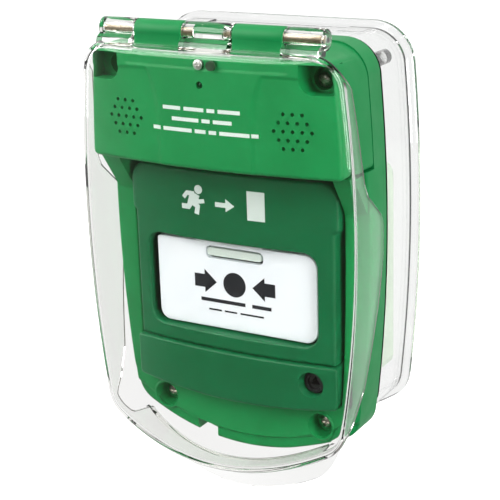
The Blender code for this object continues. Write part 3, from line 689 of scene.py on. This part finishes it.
def make_spacer():
    wall, flange, floor = 3.0, 3.5, 2.5
    boss_radius, screw_hole_radius, wall_hole_radius, cable_hole_radius = 3.6, 1.7, 2.4, 8.5
    loop = shield(72.0, 95.0, -93.0, -118.0, BODY_TAPER, corner_reach=8.0)
    centre = (0.0, -10.0)
    edge = inset(loop, -flange)
    front = SPACER.front
    rings = list(reversed(face_rings(inset(edge, 0.6), 0.0, centre, 6)))
    rings += [ring(inset(edge, 0.6), 0.0), ring(edge, 0.6), ring(edge, 2.9), ring(inset(edge, 0.6), 3.5)]
    rings += [ring(inset(loop, -0.8), 3.5), ring(loop, 4.3)]
    rings += [ring(loop, front - 0.5), ring(inset(loop, 0.5), front), ring(inset(loop, wall - 0.5), front)]
    rings += [ring(inset(loop, wall), front - 0.5), ring(inset(loop, wall), floor + 2.0)]
    rings += [ring(inset(loop, wall + 2.0), floor)]
    rings += face_rings(inset(loop, wall + 2.0), floor, centre, 6)
    body = lofted("clear_rear_box", rings, start_centre=(0.0, 0.0, -10.0), end_centre=(0.0, floor, -10.0))
    holes = []
    for node in FIXING_SCREWS:
        screw = extent(node)
        x, z = middle_of(screw)
        weld(body, round_bar(f"boss_{node}", (x, 1.0, z), (0, 1, 0), front - 1.0, boss_radius, 0.4))
        holes.append(round_bar(f"hole_{node}", (x, screw.back - 0.8, z), (0, 1, 0), 40.0, screw_hole_radius))
    for x in (-45, 45):
        for z in (-93, 64):
            holes.append(round_bar(f"wall_hole_{x}_{z}", (x, -5.0, z), (0, 1, 0), 20.0, wall_hole_radius))
    cable_z = middle_of(extent("cable_grommet"))[1]
    holes.append(round_bar("cable_hole", (0, -5.0, cable_z), (0, 1, 0), 20.0, cable_hole_radius, sides=64))
    holes.append(brick("top_panel", (-39.0, 39.0), (4.5, front - 3.0), (94.4, 110.0)))
    cut(body, *holes)
    return piece(body, "station", "clear_box", replaces=["rear_spacer"], angle=30)


# ---------------------------------------------------------------- the green frame

LEG_FRONT = 55.0
CHIN_CROWN = 57.8
SHELF_FRONT = 47.0
FRAME_CENTRE = (0.0, -28.0)
HEAD_BOTTOM = HEAD.bottom
BASE_CORNER_Z = -101.0


def base_bottom(x):
    return BASE.bottom + (BASE_CORNER_Z - BASE.bottom) * (x / 65.4) ** 2


chin_front = bowed(CHIN_CROWN, 4.0, FRAME_HALF_WIDTH)


def base_front(x, z):
    """Depth of the frame's front: legs, a bowed chin below them and a stepped band along its foot."""
    chin = chin_front(x)
    depth = LEG_FRONT + (chin - LEG_FRONT) * step_up(-z, 86.0, 6.0)
    band = base_bottom(x) + 6.6
    return depth - 1.3 * step_up(-z, -band, 1.0) * step_up(-z, 92.0, 4.0)


def call_opening(half_width, low, foot, top):
    half = [(half_width * i / 12, foot + (low - foot) * (i / 12) ** 2) for i in range(13)]
    return resample(mirrored(half + [(half_width, top)]), 1.2)


def make_base():
    outer = shield(
        FRAME_HALF_WIDTH, 95.5, BASE_CORNER_Z, BASE.bottom, BODY_TAPER, corner_reach=9.0, spacing=1.5
    )
    inner = call_opening(60.3, -86.4, -90.4, 34.3)
    body = framed_block("green_frame", outer, inner, BASE.back, base_front, FRAME_CENTRE, 1.4, 0.9, 26)
    cut(body, brick("room_for_head", (-90, 90), (SHELF_FRONT, 100), (HEAD_BOTTOM - 0.3, 120)))
    slope = [(44.0, 13.6), (55.0, 13.6), (55.4, 15.5), (69.0, HEAD_BOTTOM - 0.4), (44.0, HEAD_BOTTOM - 0.4)]
    for sign in (-1, 1):
        x0, x1 = sorted((sign * 60.4, sign * 70.4))
        weld(body, prism(f"slope_{sign}", slope, "x", x0, x1))
    notch = [(-27.2, -130.0), (-15.0, -130.0), (-15.0, -111.4), (-27.2, -108.4)]
    cut(body, prism("chin_notch", notch, "depth", 10.0, 80.0))
    cut(body, framed_pocket())
    rim_profile = [(0, 0), (0, 8.0), (0.5, 8.0), (1.0, 7.5), (1.0, 0)]
    recess_profile = [(0, 0), (0, 5.3), (3.0, 5.4), (9.0, 7.1), (20.0, 7.1), (20.0, 0)]
    recesses = []
    for sign in (-1, 1):
        x, z = sign * LOWER_SCREW[0], LOWER_SCREW[1]
        weld(body, round_bar(f"post_{sign}", (x, BASE.back + 0.2, z), (0, 1, 0), 14.0, 4.8))
        weld(body, turned(f"boss_rim_{sign}", rim_profile, (x, chin_front(x) - 0.55, z), (0, 1, 0), 56))
        recesses.append(turned(f"recess_{sign}", recess_profile, (x, 48.5, z), (0, 1, 0), 56))
    cut(body, *recesses)
    return piece(body, "station", "signal_green", replaces=["base_frame"])


def framed_pocket():
    """The hollow behind the frame, which a wall surrounds on all sides."""
    wall = 2.6
    outer = shield(FRAME_HALF_WIDTH - wall, 92.9, -92.0, -105.4, BODY_TAPER, 18.0 - wall, 5.0, 3.0)
    inner = call_opening(60.3 + wall, -89.0, -93.0, 34.3 + wall)
    back, front = BASE.back - 5.0, SHELF_FRONT - wall
    return framed_block("rear_hollow", outer, inner, back, front, FRAME_CENTRE, 0.3, 0.3, 3)


# ---------------------------------------------------------------- the sounder head

HEAD_BOW = 6.0
HEAD_HALF_WIDTH = 70.5
HEAD_TOP_Z = 90.8


def head_front(x, z):
    """Depth of the head's front: bowed, with flat cheeks round the grilles and a step below its top edge."""
    depth = HEAD.front - HEAD_BOW * (x / HEAD_HALF_WIDTH) ** 2
    cheek_edge = 26.0 + 5.5 * max(0.0, (z - 60.0) / 23.0) ** 2
    in_cheek = step_up(abs(x), cheek_edge, 2.2) * (1 - step_up(z, 84.0 - 0.03 * abs(x), 1.6))
    top_band = step_up(z, 84.6, 1.2) * (1 - step_up(abs(x), 44.0, 3.0))
    return depth - 0.55 * in_cheek - 0.5 * top_band


def head_loop(widest, top, radius, spacing=1.1):
    """The head's outline: square below, round at its top corners."""
    side_top = top - radius
    heights = [HEAD_BOTTOM + (side_top - HEAD_BOTTOM) * i / 30 for i in range(30)]
    half = [(side_half_width(widest, z, BODY_TAPER), z) for z in heights]
    half += arc((side_half_width(widest, side_top, BODY_TAPER) - radius, side_top), radius, 0, 90, 12)
    loop = resample(mirrored(half), spacing)
    for sign in (-1, 1):
        loop = soften(loop, (sign * side_half_width(widest, HEAD_BOTTOM, BODY_TAPER), HEAD_BOTTOM), 4.0)
    return loop


def grille_points(pitch=4.7):
    """Hexagonal rows of 3, 4, 5, 4 and 3 holes."""
    for row in range(-2, 3):
        count = 5 - abs(row)
        for i in range(count):
            yield (i - (count - 1) / 2) * pitch, row * pitch * math.sqrt(3) / 2


def make_head():
    """Square-cornered in front, the head widens to nearly the frame's outline where it stands on it."""
    centre = (0.0, 63.0)
    front_loop = head_loop(HEAD_HALF_WIDTH, HEAD_TOP_Z, 3.5, 0.8)
    angles = [math.atan2(z - centre[1], x - centre[0]) for x, z in front_loop]
    rear_loop = by_angles(head_loop(72.0, 94.6, 17.5, 0.8), centre, angles)
    radius = 2.0
    rings = list(reversed(face_rings(rear_loop, HEAD.back, centre, 4))) + [ring(rear_loop, HEAD.back)]
    rings += rim(front_loop, head_front, radius, 5)
    rings += face_rings(inset(front_loop, radius), head_front, centre, 46)
    tip = (centre[0], head_front(*centre), centre[1])
    body = lofted("sounder_head", rings, start_centre=(centre[0], HEAD.back, centre[1]), end_centre=tip)
    hollow = mirrored([(64.5, 38.4), (63.5, 69.0), (43.0, 69.5), (43.0, 88.2)])
    cut(body, prism("head_hollow", hollow, "depth", 30.0, 74.5))
    steps, holes = [], []
    for sign in (-1, 1):
        corner = [(49.4, 89.2), (49.4, 82.8)] + arc((56.6, 82.4), 7.2, 180, 262, 10)[1:]
        corner += [(66.2, 75.6), (65.6, 89.2)]
        corner = [(sign * x, z) for x, z in corner]
        steps.append(prism(f"corner_pocket_{sign}", corner, "depth", 67.0, 100.0))
        hole_at = (sign * UPPER_SCREW[0], 60.0, UPPER_SCREW[1])
        holes.append(round_bar(f"corner_hole_{sign}", hole_at, (0, 1, 0), 30.0, 5.4, 0.3, 48))
        for i, (across, up) in enumerate(grille_points()):
            start = (sign * 46.0 + across, 70.0, 58.0 + up)
            profile = [(0, 0), (0, 0.95), (9.7, 0.95), (14.0, 1.25), (14.0, 0)]
            holes.append(turned(f"grille_{sign}_{i}", profile, start, (0, 1, 0), 16))
    cut(body, *steps)
    for name, radius in (("head_screw", 2.75), ("status_led", 1.8)):
        x, z = middle_of(extent(name))
        holes.append(round_bar(f"hole_{name}", (x, 72.0, z), (0, 1, 0), 20.0, radius, 0.1, 32))
    holes.append(round_bar("reed_hole", (6.2, HEAD.front - 3.2, 86.8), (0, 1, 0), 20.0, 2.5, 0.1, 32))
    cut(body, *holes)
    web = [(66.8, 89.5), (79.4, 89.5), (78.6, 93.0), (77.9, 100.0), (HINGE.depth, 103.0), (68.0, 100.0)]
    for sign in (-1, 1):
        x0, x1 = sorted((sign * 14.0, sign * 40.6))
        weld(body, prism(f"barrel_web_{sign}", web, "x", x0 + 0.35, x1 - 0.35))
        weld(body, hinge_bar(f"barrel_{sign}", x0, x1, KNUCKLE_RADIUS, 0.7, 56))
    cut(body, hinge_bar("pin_bore", -70.0, 70.0, PIN_BORE_RADIUS))
    return piece(body, "station", "signal_green", replaces=["sounder_housing"])


def make_pins():
    for sign in (-1, 1):
        node = f"hinge_pin_{side_name(sign)}"
        x0, x1 = sorted((sign * PIN.left, sign * PIN.right))
        bar = hinge_bar(f"{node}_turned", x0, x1, 1.9, 0.4)
        # The pins' finish carries a painted reflection: their tan-brown stands for warm surroundings
        # mirrored in the steel.
        piece(bar, "station", "pin_steel", replaces=[node])


# ---------------------------------------------------------------- the call point

CALL_BOW = 4.5
CALL_LOW_WIDTH = 57.0
CALL_HIGH_WIDTH = 59.0
CALL_FRONT = bowed(CALL.front, CALL_BOW, CALL_LOW_WIDTH)
LOWER_FRONT = bowed(LOWER.front, CALL_BOW, CALL_LOW_WIDTH)
WINDOW = (-49.5, 48.0, PLATE.bottom - 1.0, -5.9)
LOWER_CORNER_Z = -85.8


def call_loop():
    top, radius = CALL.top, 9.0
    half = [(CALL_LOW_WIDTH, CALL.bottom), (CALL_LOW_WIDTH, 4.6), (CALL_HIGH_WIDTH, 5.8)]
    half += arc((CALL_HIGH_WIDTH - radius, top - radius), radius, 0, 90, 12)
    loop = resample(mirrored(half), 1.0)
    for sign in (-1, 1):
        loop = soften(loop, (sign * CALL_LOW_WIDTH, CALL.bottom), 1.6)
    return loop


def make_call_point():
    window = rounded_rectangle(*WINDOW, 7.8)
    centre = (0.0, -26.0)
    body = framed_block("call_point_front", call_loop(), window, CALL.back, CALL_FRONT, centre, 1.5, 1.0, 12)
    hollow = [(-54.8, -61.0), (54.8, -61.0), (56.8, 27.8), (-56.8, 27.8)]
    cut(body, prism("call_hollow", hollow, "depth", 20.0, 56.0))
    piece(body, "station", "deep_green", replaces=["call_point_housing"])
    half_width, steps = CALL_LOW_WIDTH + 1.5, 14
    sag = LOWER_CORNER_Z - LOWER.bottom
    half = [(half_width * i / steps, LOWER.bottom + sag * (i / steps) ** 2) for i in range(steps + 1)]
    loop = resample(mirrored(half + [(half_width, LOWER.top)]), 1.0)
    for sign in (-1, 1):
        for corner_z in (LOWER_CORNER_Z, LOWER.top):
            loop = soften(loop, (sign * half_width, corner_z), 2.6)
    lower = block("call_point_lower_front", loop, LOWER.back, LOWER_FRONT, 1.1, (0.0, -75.0), 10)
    # The key hole's edges stay clear of the hollow's, because faces that coincide spoil the cut.
    key_x, key_z = middle_of(KEY)
    flare = [(0, 0), (0, 6.17), (32.37, 6.17), (36.0, 7.6), (36.0, 0)]
    cut(lower, turned("key_hole", flare, (key_x + 0.013, 30.0, key_z + 0.017), (0, 1, 0), 63))
    cut(lower, brick("lower_hollow", (-56.0, 56.0), (20.0, 58.5), (-83.0, -65.9)))
    piece(lower, "station", "deep_green", replaces=["call_point_lower_cover"])


def make_key():
    key_x, key_z = middle_of(KEY)
    profile = [(0, 0), (0, 5.9), (17.2, 5.9), (18.0, 5.1), (18.0, 3.9), (16.6, 3.6), (16.6, 0)]
    barrel = turned("key_barrel_turned", profile, (key_x, KEY.back, key_z), (0, 1, 0), 64)
    socket = arc((key_x, key_z), 3.0, 90, 330, 2)
    cut(barrel, prism("key_socket", socket, "depth", 53.0, 70.0))
    piece(barrel, "key", "black_plastic", replaces=["key_barrel"])


# ---------------------------------------------------------------- the white plate and its marks

SLOT = (-16.4, 17.0, -16.6, -9.9)


def make_plate():
    """The plate has one small corner, at its top left, and a tab on its top edge."""
    left, right, top, bottom = -45.4, 47.0, -8.0, PLATE.bottom
    corners = arc((right - 7.0, bottom + 7.0), 7.0, -90, 0, 8) + arc((right - 7.0, top - 7.0), 7.0, 0, 90, 8)
    corners += arc((left + 1.5, top - 1.5), 1.5, 90, 180, 4)
    corners += arc((left + 6.0, bottom + 6.0), 6.0, 180, 270, 8)
    loop = resample(corners, 1.0)
    front = PLATE.front
    body = block("white_press_plate", loop, front - 3.0, front, 0.7, (0.0, -31.0), 8)
    tab = rounded_rectangle(-22.0, 16.0, -10.0, PLATE.top, 0.8, 0.5, 4)
    weld(body, prism("plate_tab", tab, "depth", front - 3.0, front - 0.2))
    weld(body, round_bar("press_boss", (0.0, 50.0, -30.0), (0, 1, 0), 7.5, 4.0))
    slot = rounded_rectangle(*SLOT, 2.8, 0.5)
    cut(body, prism("flag_slot", slot, "depth", 40.0, 80.0))
    piece(body, "plate", "white_plate", replaces=["press_plate"])


def printed(name, loops, front, body, finish, thickness=0.12):
    """A thin printed mark that follows the face below it."""
    shape = bmesh.new()
    for loop in loops:
        bottom = [shape.verts.new(to_metres((x, value_at(front, x, z) - 0.1, z))) for x, z in loop]
        face = shape.faces.new(bottom)
        made = bmesh.ops.extrude_face_region(shape, geom=[face])
        for vert in (v for v in made["geom"] if isinstance(v, bmesh.types.BMVert)):
            x, z = vert.co.x / MM, vert.co.z / MM
            vert.co.y = -(value_at(front, x, z) + thickness) * MM
    obj = finished(name, shape)
    return piece(obj, body, finish)


def arrow(tip_x, z, tail, head, half_shaft, half_head, sign):
    """An arrow that points along sign times x, as an outline."""
    back = tip_x - sign * head
    end = tip_x - sign * (head + tail)
    upper = [(back, z + half_head), (back, z + half_shaft), (end, z + half_shaft)]
    return [(tip_x, z)] + upper + [(end, z - half_shaft), (back, z - half_shaft), (back, z - half_head)]


def bars(rows):
    """Short plain bars in rows, in place of lines of print: each row is (height, z, [(x0, x1), ...])."""
    return [
        rectangle(x0, x1, z - height / 2, z + height / 2) for height, z, spans in rows for x0, x1 in spans
    ]


def make_marks():
    front = PLATE.front
    dot_z = -29.1
    dot = arc((0.0, dot_z), 6.5, 0, 351, 40)
    printed("plate_dot", [dot], front, "plate", "print_black")
    for sign in (-1, 1):
        outline = arrow(sign * 10.4, dot_z, 6.0, 7.0, 3.5, 6.2, -sign)
        printed(f"plate_arrow_{side_name(sign)}", [outline], front, "plate", "print_black")
    plate_rows = [
        (1.9, -39.0, [(-20.0, 6.0), (10.0, 21.0)]),
        (0.9, -44.0, [(-15.5, -8.0), (-6.2, 1.0), (3.0, 16.5)]),
    ]
    printed("plate_lines", bars(plate_rows), front, "plate", "print_black")
    head_rows = [
        (1.8, 65.2, [(-22.5, -12.5), (-10.5, 0.5), (2.3, 6.5), (8.3, 20.0)]),
        (1.8, 60.0, [(-17.5, -2.5), (-0.7, 3.7), (5.5, 15.5)]),
        (1.8, 54.8, [(-29.0, -24.5), (-22.7, -6.5), (-4.7, 1.2), (3.0, 7.0), (8.8, 29.0)]),
    ]
    printed("head_lines", split_bars(bars(head_rows)), head_front, "station", "print_pale")
    make_pictogram()


def split_bars(loops, cell=2.5):
    """Cuts each bar into short stretches, so that it can follow a bowed face."""
    pieces = []
    for (x0, z0), (x1, _), (_, z1), _ in loops:
        count = max(1, round((x1 - x0) / cell))
        for i in range(count):
            a, b = x0 + (x1 - x0) * i / count, x0 + (x1 - x0) * (i + 1) / count
            pieces.append(rectangle(a, b, z0, z1))
    return pieces


def limb(points, widths):
    """An outline round a bent limb: a run of points with a width at each."""
    left, right = [], []
    for i, (x, z) in enumerate(points):
        before, after = points[max(0, i - 1)], points[min(len(points) - 1, i + 1)]
        dx, dz = after[0] - before[0], after[1] - before[1]
        size = math.hypot(dx, dz)
        nx, nz = -dz / size * widths[i] / 2, dx / size * widths[i] / 2
        left.append((x + nx, z + nz))
        right.append((x - nx, z - nz))
    return left + list(reversed(right))


def make_pictogram():
    """A plain running figure, an arrow and a doorway."""
    head = arc((-15.9, 20.4), 2.3, 0, 340, 18)
    trunk = limb([(-18.0, 18.2), (-20.0, 13.2)], [6.0, 4.8])
    parts = [
        head,
        trunk,
        limb([(-18.4, 17.8), (-22.9, 18.0), (-25.0, 15.4)], [2.6, 2.4, 2.1]),
        limb([(-18.0, 16.8), (-16.0, 14.2), (-12.6, 14.8)], [2.6, 2.4, 2.1]),
        limb([(-20.2, 14.2), (-16.6, 11.6), (-17.4, 7.6)], [3.6, 3.1, 2.7]),
        limb([(-20.6, 13.8), (-22.2, 10.9), (-26.2, 10.9)], [3.6, 3.0, 2.6]),
    ]
    printed("exit_figure", parts, CALL_FRONT, "station", "print_pale")
    printed("exit_arrow", [arrow(4.8, 14.0, 6.0, 5.0, 1.2, 3.3, 1)], CALL_FRONT, "station", "print_pale")
    door = split_bars([rectangle(11.9, 21.5, 7.9, 22.7)])
    printed("exit_door", door, CALL_FRONT, "station", "print_pale")


# ---------------------------------------------------------------- screws and small parts


def make_screws():
    for name in ("head_screw",) + FIXING_SCREWS:
        found = extent(name)
        x, z = middle_of(found)
        radius, front = (found.right - found.left) / 2, found.front
        height = 1.1 if name == "head_screw" else 2.2
        under = front - height
        dome = [(under - found.back + height * math.sin(a), radius * math.cos(a) ** 0.6) for a in
                (0.0, 0.35, 0.7, 1.0, 1.25, 1.45)]
        shank = [(0, 0), (0, 0.8)]
        pitch = 0.8
        turns = int((under - found.back - 1.0) / pitch)
        for i in range(turns):
            shank += [(0.6 + i * pitch, 1.05), (0.6 + (i + 0.5) * pitch, 1.35)]
        shank += [(under - found.back, 1.2)]
        profile = shank + dome + [(front - found.back, 0)]
        body = turned(f"{name}_turned", profile, (x, found.back, z), (0, 1, 0), 32)
        reach, slot, deep = radius * 0.6, 0.34 * radius / 2.6, 0.75
        for wide, high in ((reach, slot), (slot, reach)):
            cut(body, brick("slot", (x - wide, x + wide), (front - deep, front + 2), (z - high, z + high)))
        finish = "bright_steel" if name == "head_screw" else "steel"
        piece(body, "station", finish, replaces=[name])


def make_lamp():
    found = extent("status_led")
    x, z = middle_of(found)
    long = found.front - found.back
    profile = [(0, 0), (0, 1.5), (long - 1.5, 1.5)]
    profile += [(long - 1.5 + 1.5 * math.sin(a), 1.5 * math.cos(a)) for a in (0.4, 0.8, 1.2)] + [(long, 0)]
    body = turned("status_lamp", profile, (x, found.back, z), (0, 1, 0), 24)
    piece(body, "station", "lamp_lens", replaces=["status_led"])


def make_grommet():
    found = extent("cable_grommet")
    x, z = middle_of(found)
    wide = (found.right - found.left) / 2
    profile = [(0, 4.5), (0.0, 7.6), (0.6, 8.2), (2.4, 8.2), (2.4, wide - 0.4), (2.9, wide), (4.2, wide)]
    profile += [(4.7, wide - 0.5), (5.7, 6.5), (5.7, 5.0), (5.2, 4.5)]
    body = turned("cable_grommet_turned", profile, (x, found.back, z), (0, 1, 0), 48, closed=True)
    piece(body, "station", "grommet_rubber", replaces=["cable_grommet"])


def dress_cad_nodes():
    """The CAD nodes that stay get the finish of their slot in the record. Only the magnet has its own."""
    for row in frame["record"]["subparts"]:
        node = NODES[row["node"]]
        node.data.materials.clear()
        finish = "magnet_coat" if "magnet" in row["node"] else row["material_slot"]
        node.data.materials.append(FINISHES[finish])


# ---------------------------------------------------------------- studio

AZIMUTH, ELEVATION, ROLL = 30.62, 17.76, 1.82
CAMERA_DISTANCE = 740.2
CAMERA_SHIFT = (-21.3, -26.7)
BACKDROP = (-0.485, 0.82, -0.305)
FLOOR_HEIGHT = -0.34


def direction(azimuth, elevation):
    """The way from the object to a place at these angles, in degrees. Azimuth 0 is in front."""
    azimuth, elevation = math.radians(azimuth), math.radians(elevation)
    level = math.cos(elevation)
    return Vector((math.sin(azimuth) * level, -math.cos(azimuth) * level, math.sin(elevation)))


def make_camera():
    """A long lens, right of the object and above it, rolled a little."""
    back, roll = direction(AZIMUTH, ELEVATION), math.radians(ROLL)
    right = direction(AZIMUTH + 90.0, 0.0)
    up = back.cross(right)
    right, up = (
        right * math.cos(roll) - up * math.sin(roll),
        right * math.sin(roll) + up * math.cos(roll),
    )
    data = bpy.data.cameras.new("camera")
    data.lens, data.sensor_width = 100.0, 36.0
    camera = bpy.data.objects.new("camera", data)
    where = (right * CAMERA_SHIFT[0] + up * CAMERA_SHIFT[1] + back * CAMERA_DISTANCE) * MM
    turn = Matrix((right, up, back)).transposed().to_4x4()
    camera.matrix_world = Matrix.Translation(where) @ turn
    bpy.context.scene.collection.objects.link(camera)
    bpy.context.scene.camera = camera


def lamp(name, azimuth, elevation, distance, size, power):
    """A soft square lamp that faces the object."""
    back = direction(azimuth, elevation)
    data = bpy.data.lights.new(name, "AREA")
    data.shape, data.size, data.size_y, data.energy = "RECTANGLE", size[0], size[1], power
    obj = bpy.data.objects.new(name, data)
    obj.location = back * distance
    obj.rotation_euler = back.to_track_quat("Z", "Y").to_euler()
    bpy.context.scene.collection.objects.link(obj)


def mixed(tree, factor, low, high):
    """A colour between low and high: each is a colour or the output of a node."""
    node = tree.nodes.new("ShaderNodeMix")
    node.data_type = "RGBA"
    tree.links.new(factor, node.inputs["Factor"])
    for name, colour in (("A", low), ("B", high)):
        if isinstance(colour, tuple):
            node.inputs[name].default_value = (*colour, 1.0)
        else:
            tree.links.new(colour, node.inputs[name])
    return node.outputs["Result"]


def make_world():
    """A white backdrop in a dim room: the eye sees only white, mirrors and clear edges pick up the room."""
    world = bpy.data.worlds.new("studio")
    world.use_nodes = True
    bpy.context.scene.world = world
    tree = world.node_tree
    where = tree.nodes.new("ShaderNodeTexCoord")
    dot = tree.nodes.new("ShaderNodeVectorMath")
    dot.operation = "DOT_PRODUCT"
    dot.inputs[1].default_value = BACKDROP
    tree.links.new(where.outputs["Generated"], dot.inputs[0])
    facing = tree.nodes.new("ShaderNodeMapRange")
    facing.interpolation_type = "SMOOTHSTEP"
    facing.inputs["From Min"].default_value = -0.20
    facing.inputs["From Max"].default_value = 0.55
    tree.links.new(dot.outputs["Value"], facing.inputs["Value"])
    near_backdrop = facing.outputs["Result"]
    path = tree.nodes.new("ShaderNodeLightPath").outputs
    dark = mixed(tree, path["Is Transmission Ray"], (0.020, 0.018, 0.016), (0.15, 0.137, 0.118))
    room = mixed(tree, near_backdrop, dark, (1.0, 1.0, 1.0))
    seen = mixed(tree, path["Is Camera Ray"], room, (1.0, 1.0, 1.0))
    bounced = mixed(tree, near_backdrop, (0.31, 0.31, 0.31), (1.15, 1.15, 1.15))
    light = mixed(tree, path["Is Diffuse Ray"], seen, bounced)
    tree.links.new(light, tree.nodes["Background"].inputs["Color"])


def make_floor():
    shape = bmesh.new()
    place = Matrix.Translation((0, 0, FLOOR_HEIGHT))
    bmesh.ops.create_grid(shape, x_segments=8, y_segments=8, size=6.0, matrix=place)
    floor = finished("studio_floor", shape)
    paper = moulded("floor_paper", (0.90, 0.90, 0.89), (0.93, 0.93, 0.92), 0.9, specular=0.1)
    shader = paper.node_tree.nodes["Principled BSDF"]
    shader.inputs["Emission Color"].default_value = (1.0, 1.0, 1.0, 1.0)
    shader.inputs["Emission Strength"].default_value = 0.6
    floor.data.materials.append(paper)
    floor.visible_glossy = False
    floor.visible_diffuse = False
    floor.visible_transmission = False


def make_studio():
    bpy.context.scene.view_settings.view_transform = "Standard"
    make_camera()
    make_world()
    make_floor()
    lamp("key_lamp", -35, 35, 1.6, (1.1, 1.1), 20.0)
    lamp("fill_lamp", 72, 15, 1.8, (0.4, 1.6), 26.0)
    lamp("top_lamp", 10, 80, 1.5, (1.0, 1.0), 9.0)
    lamp("edge_lamp", -85, 15, 1.6, (0.25, 1.4), 8.0)


make_studio()
dress_cad_nodes()
make_cover()
make_spacer()
make_base()
make_head()
make_pins()
make_call_point()
make_key()
make_plate()
make_marks()
make_screws()
make_lamp()
make_grommet()
